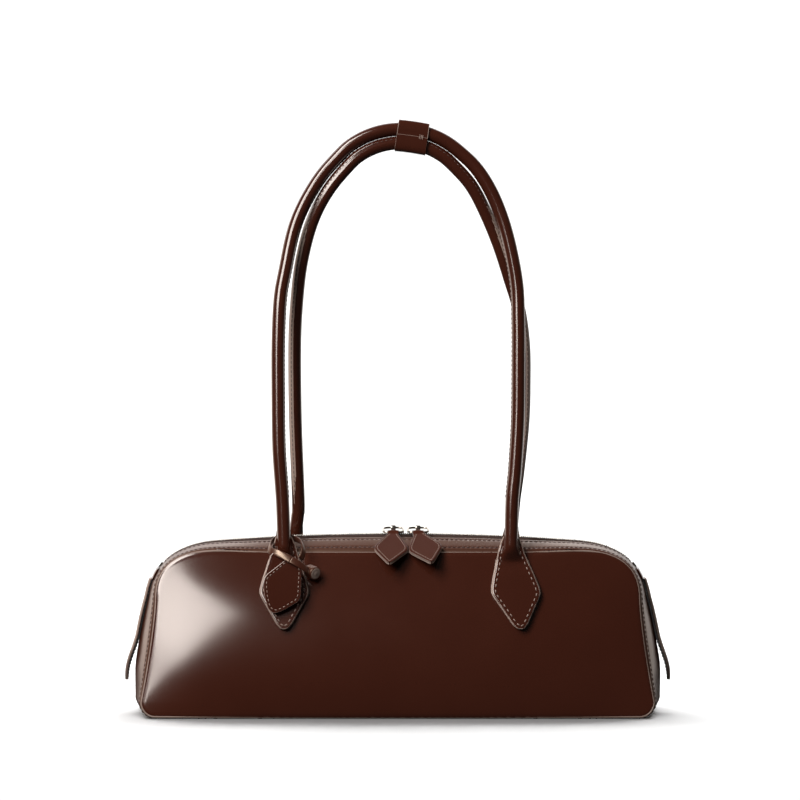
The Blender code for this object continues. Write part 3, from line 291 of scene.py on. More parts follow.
def add_sheet(name, grid, finish, thickness, hides, inside=BODY_MIDDLE, slot="leather"):
    """An open surface of leather or cloth that faces away from a point, thickened inwards."""
    faces = grid_faces(*grid.shape[:2])
    a, b, c = grid.reshape(-1, 3)[faces[:, :3].T]
    if (np.cross(b - a, c - a) * (a - inside)).sum() < 0:
        faces = faces[:, ::-1]
    made = add_piece(name, grid, faces.tolist(), "bag", finish, hides=hides, slot=slot)
    solid = made.modifiers.new("thickness", "SOLIDIFY")
    solid.thickness = thickness
    solid.offset = -1


def faces_out(points, parts):
    """The faces of closed solids, turned so that the volume, the sum of a . (b x c), is positive."""
    volume = 0.0
    for part in parts:
        for n in range(1, part.shape[1] - 1):
            a, b, c = points[part[:, [0, n, n + 1]].T]
            volume += (a * np.cross(b, c)).sum()
    step = 1 if volume > 0 else -1
    return [face for part in parts for face in part[:, ::step].tolist()]


def loft(rings, closed=False):
    """A solid through a stack of rings, which runs back to the first or has a point in each end."""
    count, around = rings.shape[:2]
    points, parts = rings.reshape(-1, 3), [grid_faces(count, around, closed, True)]
    if not closed:
        points = np.vstack((points, rings[0].mean(axis=0), rings[-1].mean(axis=0)))
        j = np.arange(around)
        k, first, last = (j + 1) % around, count * around, (count - 1) * around
        parts += [points_at(j, k, first), points_at(last + k, last + j, first + 1)]
    return points, faces_out(points, parts)


def copies(rings):
    """Many small solids of one kind, each given by its own rings, with flat ends."""
    count, levels, around = rings.shape[:3]
    per, points = levels * around, rings.reshape(-1, 3)
    ends = np.array((np.arange(around), per - 1 - np.arange(around)))
    starts = np.arange(count)[:, None, None] * per
    sides = grid_faces(levels, around, False, True)
    return points, faces_out(points, [(starts + part).reshape(-1, part.shape[1]) for part in (sides, ends)])


def joined(solids):
    """Points and faces of several solids as one mesh."""
    points, faces, start = [], [], 0
    for more_points, more_faces in solids:
        points.append(more_points)
        faces.extend([[start + n for n in face] for face in more_faces])
        start += len(more_points)
    return np.vstack(points), faces


def picked(count, chosen=()):
    """Marks the chosen rows or columns of a count, also counted from the end."""
    return np.isin(np.arange(count), np.mod(chosen, count))


def marked(rows, columns, ends=()):
    """Marks for a loft's faces: those in marked rows or columns, and then those of its ends."""
    return np.append(rows[:, None] | columns, ends)


def superellipse(count, squareness):
    """Across and through shares of a rounded section: cosine and sine to the power 2 / squareness."""
    turns = turns_round(count)
    return [np.sign(wave) * np.abs(wave) ** (2 / squareness) for wave in (np.cos(turns), np.sin(turns))]


def strap_rings(centre, across, normal, half_width, half_thick, squareness, count):
    """Rings of a strap along a path: a superellipse of the given half width and half thickness."""
    rings = centre[:, None]
    shares = superellipse(count, squareness)
    for way, share, half in zip((across, normal), shares, (half_width, half_thick)):
        size = share * np.broadcast_to(half, len(centre))[:, None]
        rings = rings + np.broadcast_to(way, centre.shape)[:, None] * size[..., None]
    return rings


def closed_tube(path, radius, count, hint):
    """A round tube along a path that runs back to its start."""
    tangent = unit(np.roll(path, -1, axis=0) - np.roll(path, 1, axis=0))
    across = unit(np.cross(tangent, hint))
    return loft(strap_rings(path, across, np.cross(across, tangent), radius, radius, 2.0, count), True)


def add_stitching(name, rows, body, kind="seam", thread="thread"):
    """Rows of stitches, each a path and the way out of the leather: threads that rise between two holes."""
    pitch, length, radius = STITCHES[kind]
    far, wide, lift = STITCH_SHARES.T[:, :, None] * np.array((length, radius, radius))[:, None, None]
    turns = turns_round(6)
    shares = points_at(far, wide * np.cos(turns), wide * np.sin(turns) + lift)
    solids = []
    for path, out in rows:
        line = resample(np.column_stack((path, np.broadcast_to(out, path.shape))), pitch)
        place, normal = line[:, :3], unit(line[:, 3:])
        tangent = unit(np.gradient(place, axis=0))
        ways = np.stack((tangent, np.cross(normal, tangent), normal), axis=1)
        solids.append(copies(place[:, None, None] + np.einsum("rtk,nkx->nrtx", shares, ways)))
    add_piece(name, *joined(solids), body, thread)


# Finishes

def feed(tree, made, inputs):
    """Gives each named input of a node its value, or another node's output."""
    for socket, value in inputs.items():
        if isinstance(value, bpy.types.NodeSocket):
            tree.links.new(value, made.inputs[socket])
        else:
            made.inputs[socket].default_value = value


def add_node(tree, kind, output, inputs, **settings):
    """A shader node with its settings and inputs; gives back the named output."""
    made = tree.nodes.new(f"ShaderNode{kind}")
    for setting, value in settings.items():
        setattr(made, setting, value)
    feed(tree, made, inputs)
    return made.outputs[output]


def add_bump(tree, height, distance, strength=1.0):
    return add_node(tree, "Bump", "Normal", {"Height": height, "Distance": distance, "Strength": strength})


def add_tint(tree, mask, dark, light):
    return add_node(tree, "Mix", "Result", {"Factor": mask, "A": (*dark, 1), "B": (*light, 1)},
                    data_type="RGBA")


def add_shine(tree, mask, low, high):
    return add_node(tree, "MapRange", "Result", {"Value": mask, "To Min": low, "To Max": high})


def add_place(tree):
    return add_node(tree, "TexCoord", "Object", {})


def new_finish(name):
    """An empty material, listed under its name: its nodes and its shader."""
    finishes[name] = bpy.data.materials.new(name)
    finishes[name].use_nodes = True
    tree = finishes[name].node_tree
    return tree, tree.nodes["Principled BSDF"]


def grain_group():
    """Leather grain: fine pebbles under a slow mottle, given as a normal and a mask."""
    group = bpy.data.node_groups.new("leather_grain", "ShaderNodeTree")
    for socket, way, kind in (("Pebble Scale", "INPUT", "Float"), ("Depth", "INPUT", "Float"),
                              ("Normal", "OUTPUT", "Vector"), ("Mottle", "OUTPUT", "Float")):
        group.interface.new_socket(name=socket, in_out=way, socket_type=f"NodeSocket{kind}")
    enter, leave = (group.nodes.new(f"NodeGroup{way}put") for way in ("In", "Out"))
    place = add_place(group)
    pebbles = add_node(group, "TexVoronoi", "Distance",
                       {"Vector": place, "Scale": enter.outputs["Pebble Scale"]}, feature="SMOOTH_F1")
    creases, mottle = (
        add_node(group, "TexNoise", "Fac", {"Vector": place, "Scale": scale, "Detail": detail})
        for scale, detail in ((160.0, 4.0), (28.0, 3.0)))
    height = add_node(group, "Math", "Value", {0: creases, 1: 0.6, 2: pebbles}, operation="MULTIPLY_ADD")
    feed(group, leave, {"Normal": add_bump(group, height, 0.00012, enter.outputs["Depth"]), "Mottle": mottle})
    return group


def leather_finish(name, group, dark, light, roughness, depth, coat=0.35, gloss=0.5,
                   mirror=(1.0, 0.87, 0.78)):
    """Glazed leather: two close browns by the mottle, grain in the normal and a thin clear coat."""
    tree, shader = new_finish(name)
    mottle = add_node(tree, "Group", "Mottle", {"Pebble Scale": 900.0, "Depth": depth}, node_tree=group)
    feed(tree, shader, {
        "Base Color": add_tint(tree, mottle, dark, light), "Normal": mottle.node.outputs["Normal"],
        "Roughness": add_shine(tree, mottle, roughness * 0.85, roughness * 1.2), "Specular IOR Level": gloss,
        "Specular Tint": (*mirror, 1), "Coat Weight": coat, "Coat Roughness": 0.12})


def thread_finish(name, colour):
    """Waxed thread, twisted: fine slanting bands in the normal."""
    tree, shader = new_finish(name)
    twist = add_node(tree, "TexWave", "Fac", {"Vector": add_place(tree), "Scale": 1400.0},
                     bands_direction="DIAGONAL")
    feed(tree, shader, {"Base Color": (*colour, 1), "Roughness": 0.45,
                        "Normal": add_bump(tree, twist, 0.00005, 0.5)})


def metal_finish(name, colour):
    """Polished metal with faint handling marks in its roughness."""
    tree, shader = new_finish(name)
    marks = add_node(tree, "TexNoise", "Fac", {"Vector": add_place(tree), "Scale": 500.0, "Detail": 5.0})
    feed(tree, shader, {"Base Color": (*colour, 1), "Metallic": 1.0,
                        "Roughness": add_shine(tree, marks, 0.12, 0.30)})


def cloth_finish(name, colour, scale):
    """Woven cloth: two crossed wave patterns as a bump and a slight change of colour."""
    tree, shader = new_finish(name)
    place = add_place(tree)
    warp, weft = (add_node(tree, "TexWave", "Fac", {"Vector": place, "Scale": scale}, bands_direction=way)
                  for way in "XY")
    cross = add_node(tree, "Math", "Value", {0: warp, 1: weft}, operation="MULTIPLY")
    feed(tree, shader, {"Base Color": add_tint(tree, cross, [0.6 * c for c in colour], colour),
                        "Roughness": 0.9, "Normal": add_bump(tree, cross, 0.0001)})


def make_finishes():
    grain = grain_group()
    leather_finish("leather", grain, (0.033, 0.0072, 0.0034), (0.041, 0.0092, 0.0044), 0.15, 0.04)
    leather_finish("band_leather", grain, (0.036, 0.0090, 0.0046), (0.046, 0.0118, 0.0062), 0.30, 0.12, 0.0,
                   1.0, (1.0, 0.76, 0.57))
    leather_finish("pull_leather", grain, (0.036, 0.0088, 0.0044), (0.046, 0.0116, 0.0060), 0.28, 0.10, 0.0,
                   0.12)
    leather_finish("cut_edge", grain, (0.24, 0.170, 0.140), (0.32, 0.235, 0.195), 0.42, 0.5, 0.1)
    # The welt's pale brown is a painted highlight: it stands for the thin light lines that the rolled edges
    # along each seam catch.
    leather_finish("piping", grain, (0.14, 0.098, 0.078), (0.19, 0.135, 0.110), 0.35, 0.3, 0.1)
    thread_finish("thread", (0.23, 0.155, 0.125))
    thread_finish("dark_thread", (0.045, 0.020, 0.014))
    metal_finish("nickel", (0.46, 0.42, 0.37))
    cloth_finish("zip_tape", (0.040, 0.016, 0.010), 700.0)
    cloth_finish("lining_cloth", (0.080, 0.050, 0.036), 500.0)
    cloth_finish("grey_board", (0.300, 0.240, 0.180), 300.0)


# Body of the bag

PANEL_INSET = 0.0007
ROLL_DEPTH = 0.0006
ROLL_WIDTH = 0.0012
ROLL_POWER = 1.5
SKIN = 0.0012
BAND_SKIN = 0.0006
# A point inside the bag below each strip, from the middle and from the base: faces turn away from it
BAND_INSIDE = (0.014, 0.05)
PIPING_RADIUS = 0.0008
PIPING_INSET = PIPING_RADIUS + PIPING_SINK
PIPING_DRAW_SHARE = 0.035
EDGE_TUCK = 0.0012
TUCK_WIDTH = 0.0008
TUCK_POWER = 1.4
EDGE_REACH = 0.0010
GROOVE_DEPTH = 0.00022
GROOVE_WIDTH = 0.0007
ROW_FROM_SEAM = 0.0036
ROW_FROM_ZIP = 0.0026
NEARBY_SHARE = 0.96
HEM = 0.0060
BAND_PLAY = 0.0002
PANEL_RIPPLE = 0.00010
RIPPLE_START = 0.0020
RIPPLE_RISE = 0.0200
BAND_RIPPLE = 0.00012
GUSSET_RIPPLE = 0.0003
FOOT_BULGE = 0.0004
FOOT_WIDTH = 0.0010


def crowded(count, tightness):
    """Shares from -1 to 1 that crowd towards both ends."""
    t = np.linspace(-1, 1, count)
    return np.sign(t) * (1 - (1 - np.abs(t)) ** tightness)


def edge_distance(x, z):
    """Distance of each point to the seam."""
    outline = np.vstack((OUTLINE, OUTLINE * (-1, 1)))[::2]
    near = [np.sqrt(((part[:, None] - outline) ** 2).sum(-1).min(1))
            for part in np.array_split(points_at(x, z).reshape(-1, 2), 60)]
    return np.concatenate(near).reshape(x.shape)


def build_panels():
    """The two large sides: crowned leather that rolls down into the seam all round."""
    up = (crowded(120, 1.9)[:, None] + 1) / 2 * SEAM_CREST
    x = crowded(270, 1.9) * seam_half_width(up)
    rise = shoulder_rise(np.clip(np.abs(x) / SHOULDER_HALF_WIDTH, 0, 1))
    middle = SEAM_CREST / 2
    x = x * (1 - PANEL_INSET / BASE_HALF_WIDTH)
    z = middle + (up * (SEAM_HEIGHT + rise) / SEAM_CREST - middle) * (1 - PANEL_INSET / middle)
    far = edge_distance(x, z)
    roll = ROLL_DEPTH * np.exp(-(np.clip(far - PANEL_INSET, 0, 1) / ROLL_WIDTH) ** ROLL_POWER)
    for name, side in SIDES.items():
        grid = points_at(x, side * (panel_depth(x, z) - roll), z)
        grid[..., 1] += side * ripple(grid, PANEL_RIPPLE) * smooth((far - RIPPLE_START) / RIPPLE_RISE)
        add_sheet(f"{name}_panel_leather", grid, "leather", SKIN, [f"{name}_panel"])


def build_piping():
    """The welt in each seam, drawn in a little at every stitch."""
    s = np.linspace(-BASE_MIDDLE, BASE_MIDDLE, 1200, endpoint=False)
    x, z, nx, nz, _ = seam_at(s)
    radius = PIPING_RADIUS * (1 - PIPING_DRAW_SHARE * np.cos(2 * math.pi * s / STITCHES["seam"][0]) ** 2)
    for name, side in SIDES.items():
        path = points_at(x - nx * PIPING_INSET, side * (seam_depth(z) - PIPING_INSET), z - nz * PIPING_INSET)
        # The welt takes the pale piping finish, a painted highlight along each seam.
        add_piece(f"{name}_piping_welt", *closed_tube(path, radius, 12, -BACK), "bag", "piping",
                  hides=[f"{name}_piping"])


def tuck(y, depth):
    """How far the band sinks where it goes into the seam."""
    away = np.maximum(depth - np.abs(y) - EDGE_REACH, 0)
    return EDGE_TUCK * np.exp(-(away / TUCK_WIDTH) ** TUCK_POWER)


def groove(y, row):
    """The dip along a row of stitches."""
    return GROOVE_DEPTH * hump(np.abs(y) - row, GROOVE_WIDTH)


def surface_row(s, y):
    """A row of stitches on the band surface, with the surface's outward direction."""
    path, inner = (band_points(s, y * share, -GROOVE_DEPTH) for share in (1, NEARBY_SHARE))
    normal = unit(np.cross(np.gradient(path, axis=0), inner - path))
    _, _, nx, nz, _ = seam_at(s)
    return path, normal * np.sign(normal[:, 0] * nx + normal[:, 2] * nz)[:, None]


def build_zip_bands():
    """The strips beside the zip: folded over at the zip and tucked into the seam, with two stitched rows."""
    s = np.linspace(-ZIP_END, ZIP_END, 460)
    depth = seam_depth(seam_at(s)[1])[:, None]
    level = 0 * depth
    fold = LEATHER / 2
    turn = np.linspace(0, math.pi, 9)[1:]
    start, end = depth - EDGE_REACH, ZIP_HALF_GAP + fold
    outer = start + (end - start) * (crowded(60, 1.5) + 1) / 2
    seam_row, zip_row = depth - ROW_FROM_SEAM, level + ZIP_HALF_GAP + ROW_FROM_ZIP
    sink = tuck(outer, depth) + groove(outer, seam_row) + groove(outer, zip_row)
    under = level + np.linspace(end, ZIP_HALF_GAP + HEM, 6)[1:]
    y = np.concatenate((outer, level + end - fold * np.sin(turn), under), axis=1)
    inset = np.concatenate((sink, level + fold * (1 - np.cos(turn)), LEATHER + 0 * under), axis=1)
    rows = []
    for name, side in SIDES.items():
        grid = band_points(s[:, None], side * y, -inset)
        grid[..., 2] += ripple(grid, BAND_RIPPLE)
        add_sheet(f"{name}_zip_band_leather", grid, "band_leather", BAND_SKIN, [f"{name}_zip_band"],
                  (0, side * BAND_INSIDE[0], BAND_INSIDE[1]))
        rows += [surface_row(s, side * row[:, 0]) for row in (seam_row, zip_row)]
    add_stitching("zip_band_stitching", rows, "bag", thread="dark_thread")


def build_gussets():
    """The two ends and the base, which run on under the bag, with a stitched row beside each seam."""
    share = crowded(90, 1.5)
    rows = []
    for name, side in (("left", -1), ("right", 1)):
        s = side * np.linspace(ZIP_END + BAND_PLAY, CORNER_END - BAND_PLAY, 240)
        depth = seam_depth(seam_at(s)[1])[:, None]
        y = (depth - EDGE_REACH) * share
        grid = band_points(s[:, None], y, -tuck(y, depth) - groove(y, depth - ROW_FROM_SEAM))
        grid[..., 0] += side * ripple(grid, GUSSET_RIPPLE) * (1 - np.abs(share) ** 4)
        add_sheet(f"{name}_end_gusset_leather", grid, "band_leather", SKIN, [f"{name}_end_gusset"])
        rows += [surface_row(s, edge * (depth[:, 0] - ROW_FROM_SEAM)) for edge in (-1, 1)]
    add_stitching("gusset_stitching", rows, "bag", thread="dark_thread")
    s = np.linspace(CORNER_END + BAND_PLAY, 2 * BASE_MIDDLE - CORNER_END - BAND_PLAY, 200)[:, None]
    y = (BASE_HALF_DEPTH - EDGE_REACH) * share
    grid = band_points(np.where(s > BASE_MIDDLE, s - 2 * BASE_MIDDLE, s), y, -tuck(y, BASE_HALF_DEPTH))
    grid[..., 2] += FOOT_BULGE * hump(np.abs(grid[..., 0]) - BASE_HALF_WIDTH + CORNER_RADIUS, FOOT_WIDTH)
    add_sheet("base_leather", grid, "leather", SKIN, ["base_panel"])


# Zip, with its ends

TAPE_PLAY = 0.0003
TAPE_DEPTH = 0.0026
TAPE_SKIN = 0.0005
TAPE_DIP_START = 0.0022
TAPE_DIP_WIDTH = 0.0050
TAPE_COLUMNS = (0.0031, 0.0036, 0.0044, 0.0054, 0.0065, 0.0080, 0.0110, 0.0140)
TOOTH_PITCH = 0.0025
TEETH_FROM_END = 0.0048
TOOTH_SINK = 0.0014
# A tooth's sections: reach over the middle, half length along the zip and half height
TOOTH = np.array(((-0.65, 0.30, 0.75), (-0.45, 0.50, 1.0), (0.2, 0.56, 1.12), (1.0, 0.50, 1.08),
                  (1.25, 0.36, 0.95), (2.4, 0.36, 0.95), (2.9, 0.26, 0.70))) / 1000
PATCH_LENGTH = 0.0070
PATCH_HALF_WIDTH = 0.0130
PATCH_CROWN = 0.0015
PATCH_FALL = 0.0005
PATCH_SKIN = 0.0011
TAB_LENGTH = 0.0668
TAB_HALF_WIDTH = 0.0110
TAB_HALF_THICK = 0.0010
TAB_STAND_OFF = 0.0044
TAB_HUG_SHARE = 0.50
TAB_ROW = 0.0020
TAB_PALE_SHARE = 0.93
NARROWEST_ROW = 0.0004
THREAD_SINK = 0.00005
TAB_SHARES = np.array(((0.0, 0.70), (0.15, 0.76), (0.30, 0.84), (0.45, 0.92), (0.60, 1.0), (0.70, 1.0),
                       (0.80, 0.82), (0.88, 0.58), (0.95, 0.32), (1.0, 0.10)))


def build_zip():
    """The two tapes and the single teeth, which mesh along the middle."""
    s = np.linspace(-ZIP_END + TAPE_PLAY, ZIP_END - TAPE_PLAY, 400)[:, None]
    y = np.array(TAPE_COLUMNS)
    sink = TAPE_DEPTH * smooth((y - TAPE_DIP_START) / TAPE_DIP_WIDTH)
    for name, side in SIDES.items():
        add_sheet(f"{name}_zip_tape_weave", band_points(s, side * y, -sink), "zip_tape", TAPE_SKIN,
                  [f"{name}_zip_tape"], slot="cloth")
        add_teeth(f"{name}_zip_teeth", side)


def add_teeth(name, side):
    """A row of teeth: each a rounded head that reaches over the middle, on a narrower foot."""
    end = ZIP_END - TEETH_FROM_END
    count = int(end / TOOTH_PITCH)
    s = np.arange(-count, count + 1) * TOOTH_PITCH + (TOOTH_PITCH / 2 if side > 0 else 0)
    s = s[np.abs(s) < end]
    place = band_points(s, 0 * s, TEETH_PROUD - TOOTH_SINK, level=True)
    _, _, nx, nz, _ = seam_at(s)
    arc = points_at(place[:, 0] / ZIP_ARC_RADIUS, 0, 1)
    up = unit(np.where(np.abs(s)[:, None] < SHOULDER_START, arc, points_at(nx, 0, nz)))
    along = points_at(up[:, 2], 0, -up[:, 0])
    reach, half_along, half_up = TOOTH.T[:, :, None]
    wide, tall = superellipse(8, 3.5)
    sizes = points_at(wide * half_along, tall * half_up)
    ring = np.einsum("rtk,nkx->nrtx", sizes, np.stack((along, up), axis=1))
    ring[..., 1] += side * reach
    add_piece(f"{name}_row", *copies(place[:, None, None] + ring), "bag", "nickel", hides=[name],
              slot="nickel", sharp=50)


def build_zip_ends():
    """The patch over each end of the zip and the tab that hangs from it, stitched round."""
    for name, side in (("left", -1), ("right", 1)):
        s = side * np.linspace(ZIP_END + GAP, ZIP_END + PATCH_LENGTH, 14)[:, None]
        y = PATCH_HALF_WIDTH * crowded(40, 1.4)
        crown = PATCH_CROWN - PATCH_FALL * np.abs(y / PATCH_HALF_WIDTH) ** 12
        add_sheet(f"{name}_patch_leather", band_points(s, y, crown), "leather", PATCH_SKIN,
                  [f"{name}_zip_end_patch"])
        build_tab(name, side)


def build_tab(name, side):
    """A tab that lies along the gusset and stands off it towards its tip, stitched down both edges."""
    share = np.concatenate((np.linspace(0, 0.9, 60), np.linspace(0.91, 1, 14)))
    s = side * (ZIP_END + PATCH_LENGTH + GAP + TAB_LENGTH * share)
    stand = TAB_STAND_OFF * ease(share, TAB_HUG_SHARE, 1)
    centre = band_points(s, 0 * s, GAP + stand + TAB_HALF_THICK, level=True)
    normal = unit(np.cross(unit(np.gradient(centre, axis=0)), BACK)) * -side
    half = TAB_HALF_WIDTH * np.interp(share, *TAB_SHARES.T)
    rings = strap_rings(centre, BACK, normal, half, TAB_HALF_THICK, 7.0, 32)
    wide = np.abs(superellipse(32, 8.0)[0])
    marks = marked(picked(len(rings) - 1), wide + np.roll(wide, -1) > 2 * TAB_PALE_SHARE, [1] * 64)
    add_piece(f"{name}_tab_leather", *loft(rings), f"{name}_tab", "leather cut_edge", marks,
              [f"{name}_end_tab"], sharp=50)
    inner = half - TAB_ROW
    keep = inner > NARROWEST_ROW
    edge = centre + normal * (TAB_HALF_THICK - THREAD_SINK)
    add_stitching(f"{name}_tab_stitching", [((edge + BACK * (way * inner)[:, None])[keep], normal[keep])
                                            for way in (-1, 1)], f"{name}_tab", "fine")


# Sliders, rings and pulls

SLIDER_LENGTH = 0.0144
SLIDER_HALF_WIDTH = 0.0050
SLIDER_TOP = 0.0017
SLIDER_BOTTOM = 0.0009
SLIDER_TAPER = 0.42
SLIDER_CROWN = 0.45
FLANGE_INSET = 0.0005
FLANGE_HALF_WIDTH = 0.00042
FLANGE_HALF_HEIGHT = 0.0007
LUG_HEIGHT = 0.00355
LUG_RADIUS = 0.00165
LUG_HALF_WIDTH = 0.0016
LUG_HALF_THICK = 0.0004
LUG_SINK = 0.0001
LUG_OVER_TURN = 0.35
RING_WIRE_RADIUS = 0.00075
RING_HALF_WIDTH = 0.0065
RING_REACH = 0.0085
RING_DROP = 0.0027
RING_CORNER = 0.00352
RING_STEP = 0.0006
PULL_LENGTH = 0.0345
PULL_WIDEST = 0.011556
PULL_NECK_HALF_WIDTH = 0.0036
PULL_CORNER = 0.0042
# How far down a pull its neck ends, it is widest and its sides would meet, as shares of its length
PULL_TURNING_SHARES = (0.10, 0.56, 1.06)
PULL_TILT = math.radians(32.0)
PULL_LEANS = {"left": math.radians(-4.0), "right": math.radians(14.0)}
PULL_LAYER = 0.00135
PULL_SPLIT = 0.00008
PULL_MOUTH = 0.00055
PULL_OPENING = 0.0040
PULL_TOP_SHARE = 0.0002
NOSE_HALF_TURN = math.pi / 2 + 0.25
PULL_EDGE = 0.0009
PULL_TIP = 0.0010
PULL_EDGE_FALL = 0.55
PULL_ROW = 0.0017
PULL_GROOVE = 0.00012
PULL_GROOVE_WIDTH = 0.0004
PULL_ROW_LEAST = 0.0021
NOSE_RADIUS = 0.0010
NOSE_HALF_THICK = 0.00045
STITCH_SINK = 0.0001


def slider_place(name):
    """A slider's middle on the zip line."""
    low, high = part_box(f"{name}_slider_lug")
    x = (low.x + high.x) / 2
    return np.array((x, 0.0, float(zip_line_height(x))))


def build_slider(name):
    """The slider's domed plate, its rolled flanges and the bridge that holds the ring."""
    share = np.linspace(-1, 1, 25)
    half = SLIDER_HALF_WIDTH * (1 - SLIDER_TAPER * np.abs(share) ** 3)
    half = half * np.sqrt(np.clip(1.02 - np.abs(share) ** 9, 0.02, 1))
    path = share[:, None] * RIGHT * SLIDER_LENGTH / 2 + UP * (SLIDER_TOP + SLIDER_BOTTOM) / 2
    dome = 1 - SLIDER_CROWN + SLIDER_CROWN * np.sqrt(1 - 0.96 * share ** 8)
    tall = (SLIDER_TOP - SLIDER_BOTTOM) / 2 * dome
    parts = [loft(strap_rings(path, BACK, UP, half, tall, 3.2, 20))]
    for side in (-1, 1):
        flange = path + BACK * (side * (half - FLANGE_INSET))[:, None] - UP * FLANGE_HALF_HEIGHT
        parts.append(loft(strap_rings(flange[3:-3], BACK, UP, FLANGE_HALF_WIDTH, FLANGE_HALF_HEIGHT, 3, 10)))
    turns = np.linspace(-LUG_OVER_TURN, math.pi + LUG_OVER_TURN, 17)[:, None]
    bridge = UP * LUG_HEIGHT + (LUG_RADIUS - LUG_HALF_THICK) * (BACK * np.cos(turns) + UP * np.sin(turns))
    bridge[[0, -1], 2] = SLIDER_TOP - LUG_SINK
    out = np.cross(unit(np.gradient(bridge, axis=0)), RIGHT)
    parts.append(loft(strap_rings(bridge, RIGHT, out, LUG_HALF_WIDTH, LUG_HALF_THICK, 3.5, 14)))
    points, faces = joined(parts)
    add_piece(f"{name}_slider_metal", points + slider_place(name), faces, f"{name}_slider", "nickel",
              hides=[f"{name}_slider", f"{name}_slider_lug"], slot="nickel", sharp=45)


def rounded(corners, radius, steps):
    """A closed outline with each corner rounded by a parabola between two points beside it."""
    at = np.asarray(corners, float)[:, None]
    back, on = (np.roll(at, shift, axis=0) - at for shift in (1, -1))
    far_back, far_on = (np.linalg.norm(way, axis=2, keepdims=True) for way in (back, on))
    near = np.minimum(radius, np.minimum(far_back, far_on) * 0.45)
    start, end = at + back / far_back * near, at + on / far_on * near
    t = np.linspace(0, 1, steps + 1)[:, None]
    return ((1 - t) ** 2 * start + 2 * t * (1 - t) * at + t * t * end).reshape(-1, 2)


def build_ring(name):
    """The wire ring between slider and pull."""
    length = math.hypot(RING_REACH, RING_DROP)
    down = -(BACK * RING_REACH + UP * RING_DROP) / length
    corners = [(side * RING_HALF_WIDTH, far) for side, far in ((-1, 0), (1, 0), (1, length), (-1, length))]
    path = slider_place(name) + UP * LUG_HEIGHT + rounded(corners, RING_CORNER, 8) @ np.array((RIGHT, down))
    path = resample(np.vstack((path, path[:1])), RING_STEP)[:-1]
    add_piece(f"{name}_ring_metal", *closed_tube(path, RING_WIRE_RADIUS, 12, np.cross(RIGHT, down)),
              f"{name}_ring", "nickel", hides=[f"{name}_pull_ring"], slot="nickel")


def pull_half_width(far):
    """Half width of a pull below the ring's bar: a neck that opens into a kite with rounded corners."""
    neck, widest, point = (share * PULL_LENGTH for share in PULL_TURNING_SHARES)
    right = ((PULL_NECK_HALF_WIDTH, 0), (PULL_NECK_HALF_WIDTH, neck), (PULL_WIDEST, widest), (0, point))
    outline = rounded(right + tuple((-x, y) for x, y in right[2::-1]), PULL_CORNER, 8)
    outline = outline[outline[:, 0] >= -1e-9]
    outline = outline[np.argsort(outline[:, 1])] * (1, PULL_LENGTH / outline[:, 1].max())
    return np.interp(far, outline[:, 1], outline[:, 0])


def build_pull(name):
    """A leather kite folded over the ring: two layers sewn together round their edge."""
    bar = slider_place(name) + (0, -RING_REACH, LUG_HEIGHT - RING_DROP)
    sine, cosine = math.sin(PULL_LEANS[name]), math.cos(PULL_LEANS[name])
    down = -math.cos(PULL_TILT) * BACK - math.sin(PULL_TILT) * UP
    out = np.cross(RIGHT, -down)

    def place(across, far, height, spread=1.0):
        """The point at a place on the pull, which turns sideways by its lean as it leaves the bar."""
        shares = (across * cosine + far * sine * spread, far * cosine - across * sine * spread, height)
        return bar + points_at(*shares) @ np.array((RIGHT, down, out))

    shares = np.concatenate((np.linspace(PULL_TOP_SHARE, 0.97, 70), 1 - np.geomspace(0.028, 0.002, 10)))
    far = shares[:, None] * PULL_LENGTH
    half = pull_half_width(far)
    across = crowded(44, 1.5) * half
    spread = smooth(far / PULL_OPENING)
    inset = half - np.abs(across)
    held = np.minimum(np.clip(inset / PULL_EDGE, 0, 1), np.clip((PULL_LENGTH - far) / PULL_TIP, 0, 1))
    dip = PULL_GROOVE * hump(inset - PULL_ROW, PULL_GROOVE_WIDTH)
    rise = PULL_LAYER * np.sqrt(1 - (1 - held) ** 2 * PULL_EDGE_FALL) - dip
    inner = PULL_SPLIT + PULL_MOUTH * (1 - spread)
    solids = [loft(np.concatenate((place(across, far, layer * (inner + rise), spread),
                                   place(across, far, layer * inner, spread)[:, ::-1]), axis=1))
              for layer in (1, -1)]
    turns = np.linspace(-NOSE_HALF_TURN, NOSE_HALF_TURN, 15)[:, None]
    ways = out * np.sin(turns) - down * np.cos(turns)
    nose = bar + NOSE_RADIUS * ways
    solids.append(loft(strap_rings(nose, RIGHT, ways, PULL_NECK_HALF_WIDTH, NOSE_HALF_THICK, 5, 20)))
    wide = across.shape[1]
    marks = marked(picked(len(far) - 1), picked(2 * wide, (wide - 1, -1)), [0] * 4 * wide)
    marks = np.concatenate((marks, marks, [0] * len(solids[2][1])))
    add_piece(f"{name}_pull_leather", *joined(solids), f"{name}_pull", "pull_leather cut_edge", marks,
              [f"{name}_pull"])
    row = far[(far > PULL_OPENING) & (half > PULL_ROW_LEAST)]
    height = PULL_SPLIT + PULL_LAYER - STITCH_SINK
    add_stitching(f"{name}_pull_stitching", [
        (place(side * (pull_half_width(row) - PULL_ROW), row, layer * height), layer * out)
        for layer in (1, -1) for side in (-1, 1)], f"{name}_pull", "pull")


# Handles

HANDLE_RADIUS = 0.0043
HANDLE_HALF_SPREAD = 0.0770
HANDLE_BASE_DEPTH = 0.0288
HANDLE_LEAN_POWER = 1.15
HANDLE_FLAT_HEIGHT = 0.3520
HANDLE_STEP = 0.0030
ARCH_CENTRE = np.array((0.0020, 0.3190))
ARCH_RADIUS = 0.0563
BACK_ARCH_RADIUS = ARCH_RADIUS - 2 * HANDLE_RADIUS - GAP
ARCH_HALF_TURN = math.radians(40.0)
